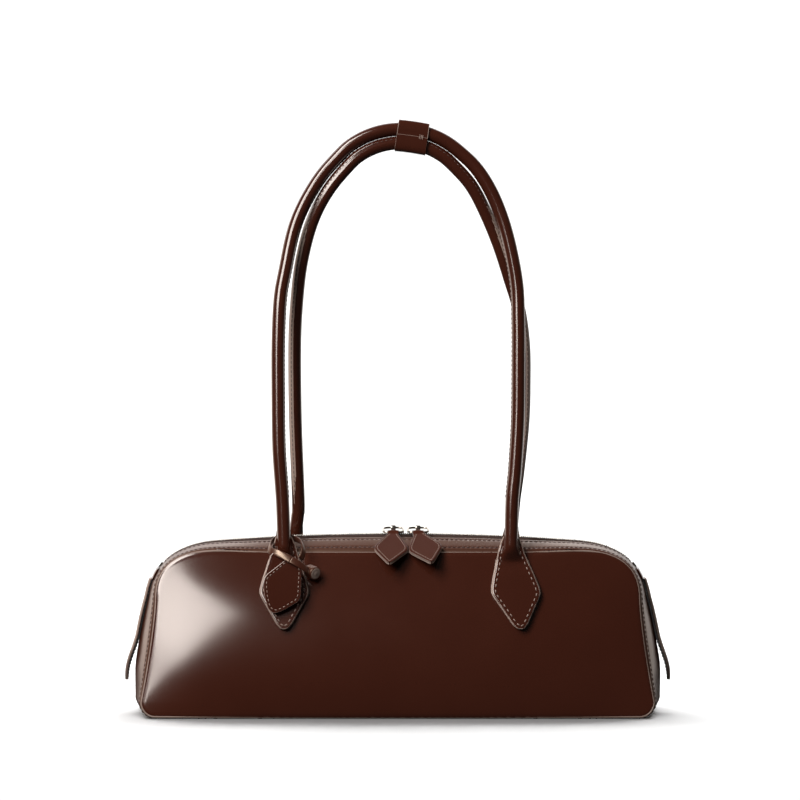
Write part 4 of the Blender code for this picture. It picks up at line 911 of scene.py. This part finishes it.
# The turn from the inside of the arch at which each handle's seam lies, and half the turn of the pale strip
# beside it: the seam's cut edge, widened and painted pale as the highlight along the seam
HANDLE_SEAMS = {"front": (0.0, 0.15), "back": (math.pi + 0.92, 0.50)}
HANDLE_ROW_TURN = 0.14
SEAM_LIP = 0.00018
SEAM_LIP_TURN = 0.16
SEAM_DIP = 0.00010
SEAM_DIP_AWAY = 0.36
SEAM_DIP_TURN = 0.14
# Height at which the pale seam strip (cut edge with a painted highlight) stops below the arch, and the taper
# of the seam's lip and of that strip
CUT_EDGE_AND_SHEEN_TOP = 0.3320
HANDLE_SEAM_TAPER = 0.0300
NECK_TOP = 0.1260
NECK_STEP = 0.0012
LEG_FOOT = 0.1040
# Height above the seam as a share of the way to the arch centre, then x as a share of the spread
LEG_SHARES = {
    "front_left": ((0.0, -0.936), (0.044, -0.939), (0.154, -0.952), (0.300, -0.983), (0.449, -0.992),
                   (0.613, -0.995), (0.747, -0.981), (0.828, -0.944), (0.981, -0.849), (1.108, -0.666)),
    "front_right": ((0.0, 0.936), (0.044, 0.937), (0.154, 0.946), (0.242, 0.971), (0.389, 0.997),
                    (0.553, 1.004), (0.688, 1.005), (0.804, 0.991), (0.951, 0.909), (1.063, 0.797),
                    (1.146, 0.656)),
    "back_left": ((0.0, -0.905), (0.037, -0.875), (0.098, -0.850), (0.145, -0.843), (0.388, -0.865),
                  (0.614, -0.868), (0.749, -0.848), (0.870, -0.805), (0.991, -0.712), (1.086, -0.568)),
    "back_right": ((0.0, 0.945), (0.037, 0.962), (0.144, 0.987), (0.236, 1.021), (0.388, 1.061),
                   (0.509, 1.068), (0.615, 1.062), (0.720, 1.022), (0.811, 0.945), (0.913, 0.852),
                   (1.014, 0.734), (1.098, 0.606))}
CHAPE_TIP_HEIGHT = 0.0560
CHAPE_REACH = 0.0620
CHAPE_HALF_WIDTH = 0.0154
CHAPE_THICKNESS = 0.0026
BACKING = 0.0012
BACKING_RIM = 0.0004
CHAPE_LEANS = {"front_left": 0.012, "front_right": 0.117, "back_left": -0.02, "back_right": 0.02}
CHAPE_SHARES = np.array(((0.0, 0.12), (0.05, 0.31), (0.19, 0.63), (0.32, 0.94), (0.362, 1.0),
                         (0.41, 0.985), (0.52, 0.86), (0.61, 0.735), (0.70, 0.63), (0.78, 0.535),
                         (0.85, 0.455), (0.92, 0.38), (1.0, 0.312), (1.1, 0.279)))
TIP_RADIUS = 0.0055
RIM = 0.0011
PALE_RIM = 0.0008
PALE_RIM_TOP = 0.1140
# Heights at which the chape leaves the panel and stands up, and at which the tube rises out of it
LYING_TOP = 0.0990
STAND_FOOT = 0.0894
STAND_TOP = 0.1060
TUBE_FOOT = 0.0932
TUBE_FULL = 0.1085
FREED_FOOT = 0.1060
FREED_TOP = 0.1160
THIN_FOOT = 0.1100
FLANGE_TOP = 0.1180
FILLET = 0.0009
RING_POINTS = 64
RING_TURNS = turns_round(RING_POINTS)
CHAPE_ROW = 0.0024
CHAPE_ROW_TOP = 0.1115
CHAPE_THREAD_SINK = 0.00003


def through(points, steps=16):
    """A smooth curve through control points: between each two a cubic, with slopes from their neighbours."""
    points = np.asarray(points, float)
    padded = np.vstack((2 * points[0] - points[1], points, 2 * points[-1] - points[-2]))
    t = np.linspace(0, 1, steps, endpoint=False)[:, None]
    out = [b + (c - a) / 2 * t + (a - 2.5 * b + 2 * c - d / 2) * t ** 2 + (3 * b - a - 3 * c + d) / 2 * t ** 3
           for a, b, c, d in zip(padded[:-3], padded[1:-2], padded[2:-1], padded[3:])]
    return np.vstack(out + [points[-1:]])


def leg_points(corner):
    """A leg's control points: x and height."""
    up, across = np.array(LEG_SHARES[corner]).T
    return points_at(HANDLE_HALF_SPREAD * across, LEG_FOOT + (ARCH_CENTRE[1] - LEG_FOOT) * up)


def handle_depth(z):
    """How far a handle stands from the middle plane at a height."""
    up = np.clip((z - LEG_FOOT) / (HANDLE_FLAT_HEIGHT - LEG_FOOT), 0, 1)
    return HANDLE_BASE_DEPTH * (1 - up) ** HANDLE_LEAN_POWER


def flange_share(z):
    """1 where the flanges beside the tube are whole, falling to 0 where they have run out."""
    return 1 - ease(z, TUBE_FULL, FLANGE_TOP)


def end_stations(corner, top):
    """Centres and half widths from a chape's round tip up to a height."""
    low = 1 - np.cos(np.linspace(0, 0.35, 12))
    shares = np.concatenate((low, np.linspace(0.07, (top - CHAPE_TIP_HEIGHT) / CHAPE_REACH, 76)))
    up = CHAPE_REACH * shares
    z = CHAPE_TIP_HEIGHT + up
    half = evened(CHAPE_HALF_WIDTH * np.interp(shares, *CHAPE_SHARES.T), 2)
    round_tip = np.sqrt(np.clip(2 * TIP_RADIUS * up - up ** 2, 1e-10, 1))
    half = np.where(up < TIP_RADIUS / 2, np.minimum(half, round_tip), half)
    spare = flange_share(z)
    neck = HANDLE_RADIUS + (half - HANDLE_RADIUS) * (0.35 + 0.65 * spare) * (spare > 0)
    half = np.where(z > TUBE_FULL, neck, half)
    line = through(leg_points(corner)[:6])
    x = np.interp(np.maximum(z, LEG_FOOT), line[:, 1], line[:, 0])
    return x + CHAPE_LEANS[corner] * np.clip(LEG_FOOT - z, 0, 1), z, half


def tube_lift(z):
    """How far the tube's middle stands out of the middle of the flanges beside it."""
    return (HANDLE_RADIUS - CHAPE_THICKNESS / 2) * flange_share(z)


def plate_depth(x, z):
    """Depth of a chape's middle: it lies on the panel and stands up beside the tube above the seam."""
    lying = panel_depth(x, np.minimum(z, LYING_TOP)) + BACKING + 2 * GAP + CHAPE_THICKNESS / 2
    shift = ease(z, STAND_FOOT, STAND_TOP)
    return lying * (1 - shift) + (handle_depth(z) - tube_lift(z)) * shift


def chape_rings(corner, side):
    """Rings from the tip of a chape, flat against the panel, up to the round neck.

    Each ring joins two outlines: the flat plate with its rounded rim, and the tube, which rises out
    of the plate and narrows to a round section where the flanges end.
    """
    x, z, half = end_stations(corner, NECK_TOP)
    across = half[:, None] * np.cos(RING_TURNS)
    height = z[:, None]
    slope = np.hypot(1, np.gradient(half, z))[:, None]
    edge = np.minimum((half[:, None] - np.abs(across)) / slope, height - CHAPE_TIP_HEIGHT)
    thin = CHAPE_THICKNESS / 2 * (1 - ease(height, THIN_FOOT, FLANGE_TOP))
    plate = thin * np.sqrt(1 - (1 - np.clip(edge / RIM, 0, 1)) ** 2)
    risen = ease(height, TUBE_FOOT, TUBE_FULL)
    wide = HANDLE_RADIUS * (1.9 - 0.9 * risen)
    bow = HANDLE_RADIUS * np.sqrt(np.clip(1 - (across / wide) ** 2, 0, 1))
    beside = tube_lift(height) * hump(np.clip(np.abs(across) - wide, 0, 1), FILLET)
    outer = (plate ** 4 + (risen * (bow + beside)) ** 4) ** 0.25
    freed = ease(height, FREED_FOOT, FREED_TOP)
    inner = plate * (1 - freed) + (bow - beside) * freed
    px = x[:, None] + across
    depth = plate_depth(px, height) + np.where(np.sin(RING_TURNS) >= -1e-9, outer, -inner)
    return points_at(px, side * depth, height), (edge < PALE_RIM) & (height < PALE_RIM_TOP)


def handle_path(name, side, radius):
    """A handle's centre line from the top of its left neck over the arch to its right neck."""
    turns = np.linspace(-ARCH_HALF_TURN, ARCH_HALF_TURN, 41)
    arch = ARCH_CENTRE + radius * points_at(np.sin(turns), np.cos(turns))
    low = NECK_TOP + NECK_STEP
    legs = []
    for end, join in (("left", arch[:1]), ("right", arch[-1:])):
        leg = through(np.vstack((leg_points(f"{name}_{end}"), join)))
        foot = (np.interp(low, leg[:, 1], leg[:, 0]), low)
        legs.append(np.vstack((foot, leg[leg[:, 1] > low + GAP])))
    x, z = np.vstack((legs[0][:-1], arch, legs[1][-2::-1])).T
    return evened(resample(points_at(x, side * handle_depth(z), z), HANDLE_STEP), 2)


def seam_ridge(away):
    """The raised lip of the handle's seam and the dips beside it, by the turn away from the seam."""
    away = np.abs((away + math.pi) % (2 * math.pi) - math.pi)
    return SEAM_LIP * hump(away, SEAM_LIP_TURN) - SEAM_DIP * hump(away - SEAM_DIP_AWAY, SEAM_DIP_TURN)


def flipped(rings):
    """Rings of the right end, taken downwards, with their points matched to the tube's."""
    return rings[::-1][:, (RING_POINTS // 2 - np.arange(RING_POINTS)) % RING_POINTS]


def build_handle(name, side, radius):
    """A handle in one run: flat chape, neck, rolled tube over the arch, neck and chape."""
    (left, left_rim), (right, right_rim) = (chape_rings(f"{name}_{end}", side) for end in ("left", "right"))
    path = handle_path(name, side, radius)
    tangent = unit(np.gradient(path, axis=0))
    across = -unit(np.cross(tangent, BACK))
    normal = unit(np.cross(across, tangent)) * -side
    seam_turn, half_edge_and_sheen = HANDLE_SEAMS[name]
    rise = smooth((path[:, 2:] - NECK_TOP) / HANDLE_SEAM_TAPER)
    ring_radius = (HANDLE_RADIUS + seam_ridge(RING_TURNS - seam_turn) * rise)[..., None]
    ring = across[:, None] * np.cos(RING_TURNS)[:, None] + normal[:, None] * np.sin(RING_TURNS)[:, None]
    points, faces = loft(np.concatenate((left, path[:, None] + ring * ring_radius, flipped(right))))
    # The pale strip along the seam: partly the seam's cut edge, partly a painted highlight standing for the
    # light the seam catches; it fades out at the necks and towards the arch.
    run = rise * smooth((CUT_EDGE_AND_SHEEN_TOP - path[:, 2:]) / HANDLE_SEAM_TAPER)
    edge = np.cos(RING_TURNS - seam_turn) > np.cos(half_edge_and_sheen * run)
    rims = np.concatenate((left_rim, edge, flipped(right_rim)))
    pale = rims[:-1] & rims[1:]
    made = add_piece(f"{name}_handle_leather", points, faces, None, "leather cut_edge",
                     np.append(pale & np.roll(pale, -1, 1), [1] * 2 * RING_POINTS))
    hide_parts(f"{name}_handle", f"{name}_left_chape", f"{name}_right_chape", f"{name}_left_neck",
                f"{name}_right_neck")
    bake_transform(made)
    row_turn = seam_turn + HANDLE_ROW_TURN
    out = across * math.cos(row_turn) + normal * math.sin(row_turn)
    row = ((path + out * HANDLE_RADIUS)[4:-4], out[4:-4])
    add_stitching(f"{name}_handle_stitching", [row], "handles", "handle", "dark_thread")


def build_chape_trim(corner, side):
    """The backing under a chape, and the stitched row round the chape's edge."""
    x, z, half = end_stations(corner, LYING_TOP)
    wide, deep = superellipse(28, 9.0)
    px = x[:, None] + wide * (half + BACKING_RIM)[:, None]
    py = side * (panel_depth(px, z[:, None]) + GAP + (1 + deep) * BACKING / 2)
    add_piece(f"{corner}_backing_leather", *loft(points_at(px, py, z[:, None])), "bag", "cut_edge",
              hides=[f"{corner}_chape_backing"], slot="leather_edge", sharp=60)
    x, z, half = end_stations(corner, CHAPE_ROW_TOP)
    rows = []
    for way in (-1, 1):
        edge = x + way * half
        slope = np.gradient(edge, z)
        inset = way * CHAPE_ROW / np.hypot(1, slope)
        keep = (edge - inset - x) * way > NARROWEST_ROW
        rows.append(points_at(edge - inset, z + inset * slope)[keep])
    px, pz = np.vstack((rows[0][::-1], rows[1])).T
    depth = plate_depth(px, pz) + CHAPE_THICKNESS / 2 - CHAPE_THREAD_SINK
    add_stitching(f"{corner}_chape_stitching", [(points_at(px, side * depth, pz), (0, side, 0.2))],
                  "bag", "chape")


# Keeper round both handles

KEEPER_TURN = math.radians(8.2)
KEEPER_LENGTH = 0.0200
KEEPER_LEATHER = 0.0009
KEEPER_LAP = 0.0008
KEEPER_BEND_SHARE = 0.35
KEEPER_PLAY = 0.00005
KEEPER_SQUARENESS = 4.5
KEEPER_PINCH = 0.0016
KEEPER_PINCH_SHARE = 0.10
LAP_LENGTH_SHARE = 0.985
SHORT_ROW_SHARES = (0.24, 0.29, 0.34)
SHORT_ROW_TURN = 0.0018
KEEPER_RADIUS = (ARCH_RADIUS + BACK_ARCH_RADIUS) / 2
KEEPER_HALF_DEPTH = HANDLE_RADIUS + GAP
KEEPER_HALF_HEIGHT = (ARCH_RADIUS - BACK_ARCH_RADIUS) / 2 + HANDLE_RADIUS + GAP
KEEPER_ALONG = KEEPER_LENGTH * np.concatenate(([-0.5], np.linspace(-0.486, 0.486, 23), [0.5]))


def keeper_section(grow, turns, pinch=0.0):
    """Depth and height of the keeper's section at turns from its back, drawn in between the two tubes."""
    deep, high = (np.sign(wave) * np.abs(wave) ** (2 / KEEPER_SQUARENESS) * (half + grow)
                  for wave, half in ((np.cos(turns), KEEPER_HALF_DEPTH), (np.sin(turns), KEEPER_HALF_HEIGHT)))
    return deep * (1 - pinch * hump(high, KEEPER_PINCH)), high


def keeper_place(along, deep, high):
    """Rings of the keeper's section at distances along it, bent a little with the arch."""
    sine, cosine = math.sin(KEEPER_TURN), math.cos(KEEPER_TURN)
    along = np.atleast_1d(along)[:, None]
    reach = KEEPER_RADIUS + high - KEEPER_BEND_SHARE * along ** 2 / (2 * KEEPER_RADIUS)
    x = ARCH_CENTRE[0] + reach * sine + along * cosine
    z = ARCH_CENTRE[1] + reach * cosine - along * sine
    return points_at(x, deep, z)


def build_keeper():
    """The sleeve that binds both handles: nearly straight, with its end lapped over its lower front.

    The lap is a second layer from the middle of the front round the bottom, sewn at the right.
    """
    per = len(KEEPER_ALONG)
    turns = turns_round(96)
    outer, inner = (keeper_place(KEEPER_ALONG, *keeper_section(grow, turns, pinch))
                    for grow, pinch in ((KEEPER_LEATHER, KEEPER_PINCH_SHARE), (KEEPER_PLAY, 0)))
    points, faces = loft(np.concatenate((outer, inner[::-1])), True)
    marks = marked(picked(2 * per, (0, per - 2, per - 1, per, -2, -1)), picked(96))
    add_piece("keeper_leather", points, faces, "keeper", "leather cut_edge", marks, ["keeper"], sharp=50)
    down = np.concatenate(([-0.012], np.linspace(0.0, 0.90, 29)))
    turns = np.concatenate((math.pi + np.sign(down) * np.arcsin(np.abs(down) ** 2.25),
                            np.linspace(math.pi + 1.0, 2 * math.pi - 0.5, 24)))
    along = KEEPER_ALONG * LAP_LENGTH_SHARE
    inner, outer = (keeper_place(along, *keeper_section(KEEPER_LEATHER + grow, turns)).transpose(1, 0, 2)
                    for grow in (KEEPER_PLAY, KEEPER_LAP))
    marks = marked(picked(len(turns) - 1, [0]), picked(2 * per, [per - 1]), [0] * 4 * per)
    add_piece("keeper_lap_leather", *loft(np.concatenate((outer, inner[:, ::-1]), axis=1)), "keeper",
              "leather cut_edge", marks, sharp=50)
    turns = np.linspace(math.pi - SHORT_ROW_TURN, math.pi + SHORT_ROW_TURN, 9)
    front = keeper_section(KEEPER_LEATHER + KEEPER_LAP, turns)
    add_stitching("keeper_stitching", [(keeper_place(share * KEEPER_LENGTH, *front)[0], -BACK)
                                       for share in SHORT_ROW_SHARES], "keeper", "fine")


# Hanging tag

TAG_TILT = math.radians(9.5)
TAG_LAYER = 0.0012
TAG_SWELL = 0.0003
TAG_ROW = 0.0019
TAG_STAND = 0.0030
TAG_CORNER = 0.0026
TAG_EDGE = 0.0006
TAG_GROOVE_IN = 0.0018
TAG_GROOVE = 0.00012
TAG_GROOVE_WIDTH = 0.0004
LOOP_CENTRE = np.array((-0.0704, -0.0288, 0.1078))
LOOP_HALF_DEPTH = 0.0097
LOOP_TILT = math.radians(26.0)
LOOP_ROLL = math.radians(20.0)
STRAP_WIDTH = 0.0046
STRAP_THICKNESS = 0.0012
STRAP_SQUARENESS = 2.8
STRAP_STEP = 0.0007
LOOP_SHARE = 0.80
STRAP_LEAN = 0.38
TOGGLE_RADIUS = 0.0043
TOGGLE_HALF_LENGTH = 0.0038
TOGGLE_WAY = np.array((0.62, -0.75, -0.22))
# How far each step of the roll's spiral end stands out, and its radius as a share
SPIRAL_STEPS = np.array(((0.0002, 0.80), (-0.0001, 0.66), (0.0003, 0.45)))
# The tag's layers in the photo's pixels: the back one runs up into the neck behind the strap
TAG_PIXELS = {
    "back": ((272.0, 552.0), (286.0, 555.0), (299.5, 566.0), (300.4, 596.0), (282.0, 610.0), (273.2, 612.5),
             (268.8, 608.0), (265.2, 596.5), (264.0, 584.0), (265.2, 574.0), (268.6, 563.0)),
    "front": ((287.5, 558.5), (300.0, 564.5), (301.2, 569.5), (301.0, 595.5), (298.6, 601.5), (282.4, 610.8),
              (273.5, 613.3), (268.3, 608.6), (264.6, 596.5), (263.4, 584.0), (264.8, 576.0))}
# The strap's middle in the photo's pixels, and its depth, from its hidden end behind the handle to the toggle
STRAP_ROUTE = np.array(((301.0, 559.0, -0.0362), (303.6, 549.5, -0.0330), (301.0, 542.0, -0.0268),
                        (293.0, 538.2, -0.0212), (283.0, 537.6, -0.0200), (274.5, 539.6, -0.0226),
                        (269.9, 544.6, -0.0284), (270.2, 550.6, -0.0345), (277.0, 552.9, -0.0382),
                        (287.0, 557.6, -0.0402), (297.5, 563.2, -0.0408), (306.5, 569.6, -0.0385),
                        (309.5, 573.5, -0.0352)))
# The camera that sees the bag as the photo does: its place, and metres to a pixel for each metre away
CAMERA_PLACE = (0.0015, -1.8, 0.2005)
PIXEL_SLOPE = 3.584e-4
MIDDLE_PIXEL = 400


def from_photo(pixel_x, pixel_y, depth):
    """The place at a depth that the photo shows at a pixel."""
    scale = (depth - CAMERA_PLACE[1]) * PIXEL_SLOPE
    return points_at(CAMERA_PLACE[0] + (pixel_x - MIDDLE_PIXEL) * scale, depth,
                     CAMERA_PLACE[2] - (pixel_y - MIDDLE_PIXEL) * scale)


def plate_rings(outline, middle):
    """A flat leather piece by its outline: rings from one middle over the round edge to the other."""
    centre = outline.mean(axis=0)
    shares = np.concatenate((np.linspace(0.06, 0.7, 8), 1 - np.geomspace(0.25, 0.002, 14)))[:, None]
    far = (1 - shares) * np.linalg.norm(outline - centre, axis=1).mean()
    held = np.minimum(far / TAG_EDGE, 1)
    height = (TAG_LAYER + TAG_SWELL) / 2 * np.sqrt(1 - 0.6 * (1 - held) ** 2)
    height = height - TAG_GROOVE * hump(far - TAG_GROOVE_IN, TAG_GROOVE_WIDTH)
    flat = centre + (outline - centre) * shares[..., None]
    front, back = (points_at(flat[..., 0], flat[..., 1], middle + side * height) for side in (1, -1))
    return np.concatenate((front, back[::-1]))


def build_tag():
    """The tag's two layers, stitched round; the back one runs up behind the strap as its neck."""
    right = math.cos(LOOP_ROLL) * RIGHT - math.sin(LOOP_ROLL) * UP
    level_up = math.sin(LOOP_ROLL) * RIGHT + math.cos(LOOP_ROLL) * UP
    rim = LOOP_CENTRE - LOOP_HALF_DEPTH * (BACK * math.cos(LOOP_TILT) + level_up * math.sin(LOOP_TILT))
    down = -level_up * math.cos(TAG_TILT) - BACK * math.sin(TAG_TILT)
    out = np.cross(right, -down)
    basis = np.array((right, down, out))
    for name, layer in (("back", -0.5), ("front", 0.5)):
        x, y = np.array(TAG_PIXELS[name]).T
        seen = from_photo(x, y, rim[1] - TAG_STAND) - rim
        outline = rounded(np.linalg.solve(basis[:2, ::2].T, seen[:, ::2].T).T, TAG_CORNER, 6)
        rings = plate_rings(outline, layer * (TAG_LAYER + GAP))
        count, around = rings.shape[:2]
        middle = count // 2
        marks = marked(picked(count - 1, range(middle - 6, middle + 6)), picked(around), [0] * 2 * around)
        add_piece(f"tag_{name}_leather", *loft(rings @ basis + rim), "tag", "leather cut_edge", marks,
                  [f"tag_{name}"])
    centre = outline.mean(axis=0)
    ring = centre + (outline - centre) * (1 - TAG_ROW / np.linalg.norm(outline - centre, axis=1))[:, None]
    ring = np.vstack((ring, ring[:1]))
    top = np.column_stack((ring, np.full(len(ring), TAG_LAYER + GAP / 2 + STITCH_SINK))) @ basis + rim
    add_stitching("tag_stitching", [(top, out)], "tag", "tag")


def build_strap():
    """One strap: it goes round the handle's foot and crosses its own end on the way to the toggle."""
    path = evened(resample(through(from_photo(*STRAP_ROUTE.T), 12), STRAP_STEP), 3)
    tangent = unit(np.gradient(path, axis=0))
    out = unit((path - LOOP_CENTRE) * (1, 1, 0.15)) + UP * STRAP_LEAN
    out = unit(out - tangent * (out * tangent).sum(axis=1, keepdims=True))
    rings = strap_rings(path, np.cross(tangent, out), out, STRAP_WIDTH / 2, STRAP_THICKNESS / 2,
                        STRAP_SQUARENESS, 24)
    split = int(len(path) * LOOP_SHARE)
    for name, part, node in (("tag_loop_leather", rings[:split], "tag_loop"),
                             ("toggle_strap_leather", rings[split - 1:], "tag_toggle_strap")):
        add_piece(name, *loft(part), "bag", "band_leather", hides=[node])


def build_toggle():
    """The strap's end, rolled up tight: a short fat cylinder with its spiral end towards the front."""
    low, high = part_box("tag_ball")
    axis = unit(TOGGLE_WAY)
    side = unit(np.cross(axis, UP))
    share = np.concatenate((np.linspace(-1, -0.8, 7), np.linspace(-0.6, 0.6, 7), np.linspace(0.8, 1, 7)))
    radius = TOGGLE_RADIUS * (1 - np.clip((np.abs(share) - 0.75) / 0.25, 0, 1) ** 2.5 * 0.25)
    along = np.append(share * TOGGLE_HALF_LENGTH, TOGGLE_HALF_LENGTH + SPIRAL_STEPS[:, 0])
    radius = np.append(radius, radius[-1] * SPIRAL_STEPS[:, 1])
    body = np.array((low + high) / 2) + axis * along[:, None]
    rings = strap_rings(body, side, np.cross(side, axis), radius, radius, 2.0, 32)
    marks = marked(np.arange(len(body) - 1) >= 19, picked(32), [0] * 32 + [1] * 32)
    add_piece("toggle_leather", *loft(rings), "bag", "band_leather cut_edge", marks, ["tag_ball"])


def finish_hidden_nodes():
    """Materials of the CAD nodes that stay."""
    for name, finish in (("lining", "lining_cloth"), ("base_board", "grey_board"),
                         ("left_zip_stop", "nickel"), ("right_zip_stop", "nickel")):
        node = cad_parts[name]
        node.data.materials.clear()
        node.data.materials.append(finishes[finish])


# Studio

FLOOR_FRONT, FLOOR_BACK, FLOOR_SIDE = -3.0, 1.3, 4.0
WALL_BEND, WALL_TOP = 0.8, 3.5
# Each softbox: place, target, width and height, watts and colour
SOFTBOXES = {
    "overhead": ((-0.10, -0.20, 1.45), (0, -0.05, 0.1), (1.9, 0.80), 6, (1, 1, 1)),
    "backdrop_light": ((0.0, 1.2, 2.2), (0, 2.0, 0.3), (3.0, 0.8), 60, (1, 1, 1)),
    "floor_light": ((0.0, 0.85, 1.25), (0, 0, 0), (2.6, 0.7), 24, (1, 1, 1)),
    "left_window": ((-0.95, -1.08, 1.22), (-0.12, 0, 0.07), (0.60, 1.25), 42, (1, 1, 1)),
    "panel_window": ((-0.618, -1.388, 0.772), (-0.13, -0.03, 0.07), (0.36, 0.48), 8.2, (1, 1, 1)),
    "upper_back": ((-0.15, 0.95, 1.42), (0, 0, 0.1), (2.6, 1.4), 7.5, (1, 1, 1)),
    "upper_left_back": ((-1.1, 0.85, 1.25), (-0.1, 0, 0.1), (1.2, 1.2), 6, (1, 1, 1)),
    "left_side": ((-1.25, 0.85, 0.45), (0, 0, 0.15), (1.4, 0.9), 4.4, (1.0, 0.82, 0.69)),
    "right_side": ((1.3, 0.85, 0.45), (0, 0, 0.15), (1.2, 0.9), 1.3, (1.0, 0.80, 0.68))}
OUT_OF_REFLECTIONS = ("overhead", "backdrop_light", "floor_light")
# Softboxes that light the floor only, or all but the floor
FLOOR_LINKS = {"floor_light": "INCLUDE", "left_window": "EXCLUDE", "panel_window": "EXCLUDE"}
PANEL_WINDOW_ROLL = math.radians(-30)
PAPER_WHITE = 0.93
GLOW = 0.04
SENSOR_WIDTH, LENS_LENGTH, FARTHEST_SEEN = 36.0, 125.6, 20.0


def build_sweep():
    """The white floor, and the wall that curves up behind it."""
    _, shader = new_finish("white_paper")
    shader.inputs["Base Color"].default_value = (*[PAPER_WHITE] * 3, 1)
    shader.inputs["Roughness"].default_value = 0.9
    turn = np.linspace(0, math.pi / 2, 24)
    curve = [(FLOOR_BACK + WALL_BEND * math.sin(t), WALL_BEND - WALL_BEND * math.cos(t)) for t in turn]
    sheets = []
    for name, profile in (("sweep_floor", [(FLOOR_FRONT, 0.0), (FLOOR_BACK, 0.0)]),
                          ("sweep_wall", curve + [(FLOOR_BACK + WALL_BEND, WALL_TOP)])):
        points = [(x, y, z) for y, z in profile for x in (-FLOOR_SIDE, FLOOR_SIDE)]
        faces = [(n, n + 1, n + 3, n + 2) for n in range(0, 2 * len(profile) - 2, 2)]
        made = add_piece(name, points, faces, None, "white_paper")
        made.visible_glossy = name == "sweep_wall"
        made.visible_diffuse = False
        sheets.append(made)
    return sheets[0]


def build_studio():
    """A white sweep, the softboxes and the camera, level with the middle of the picture."""
    floor = build_sweep()
    scene = bpy.context.scene
    for name, (place, target, (width, height), power, colour) in SOFTBOXES.items():
        data = bpy.data.lights.new(name, "AREA")
        data.shape = "RECTANGLE"
        data.size, data.size_y, data.energy, data.color = width, height, power, colour
        made = bpy.data.objects.new(name, data)
        made.location = place
        made.rotation_euler = (Vector(target) - Vector(place)).to_track_quat("-Z", "Y").to_euler()
        made.visible_glossy = name not in OUT_OF_REFLECTIONS
        scene.collection.objects.link(made)
        if name == "panel_window":
            made.rotation_euler.rotate_axis("Z", PANEL_WINDOW_ROLL)
        if name in FLOOR_LINKS:
            group = bpy.data.collections.new(f"{name}_receivers")
            group.objects.link(floor)
            group.collection_objects[0].light_linking.link_state = FLOOR_LINKS[name]
            made.light_linking.receiver_collection = group

    scene.world = bpy.data.worlds.new("studio")
    scene.world.use_nodes = True
    glow = scene.world.node_tree.nodes["Background"]
    glow.inputs["Color"].default_value = (1, 1, 1, 1)
    glow.inputs["Strength"].default_value = GLOW

    data = bpy.data.cameras.new("camera")
    data.sensor_width, data.lens, data.clip_end = SENSOR_WIDTH, LENS_LENGTH, FARTHEST_SEEN
    scene.camera = bpy.data.objects.new("camera", data)
    scene.camera.location = CAMERA_PLACE
    scene.camera.rotation_euler = (math.pi / 2, 0, 0)
    scene.collection.objects.link(scene.camera)
    scene.view_settings.view_transform = "Standard"


make_finishes()
build_panels()
build_piping()
build_zip_bands()
build_gussets()
build_zip()
build_zip_ends()
for slider in ("left", "right"):
    build_slider(slider)
    build_ring(slider)
    build_pull(slider)
build_handle("front", -1, ARCH_RADIUS)
build_handle("back", 1, BACK_ARCH_RADIUS)
for corner in LEG_SHARES:
    build_chape_trim(corner, SIDES[corner.split("_")[0]])
build_keeper()
build_tag()
build_strap()
build_toggle()
finish_hidden_nodes()
build_studio()
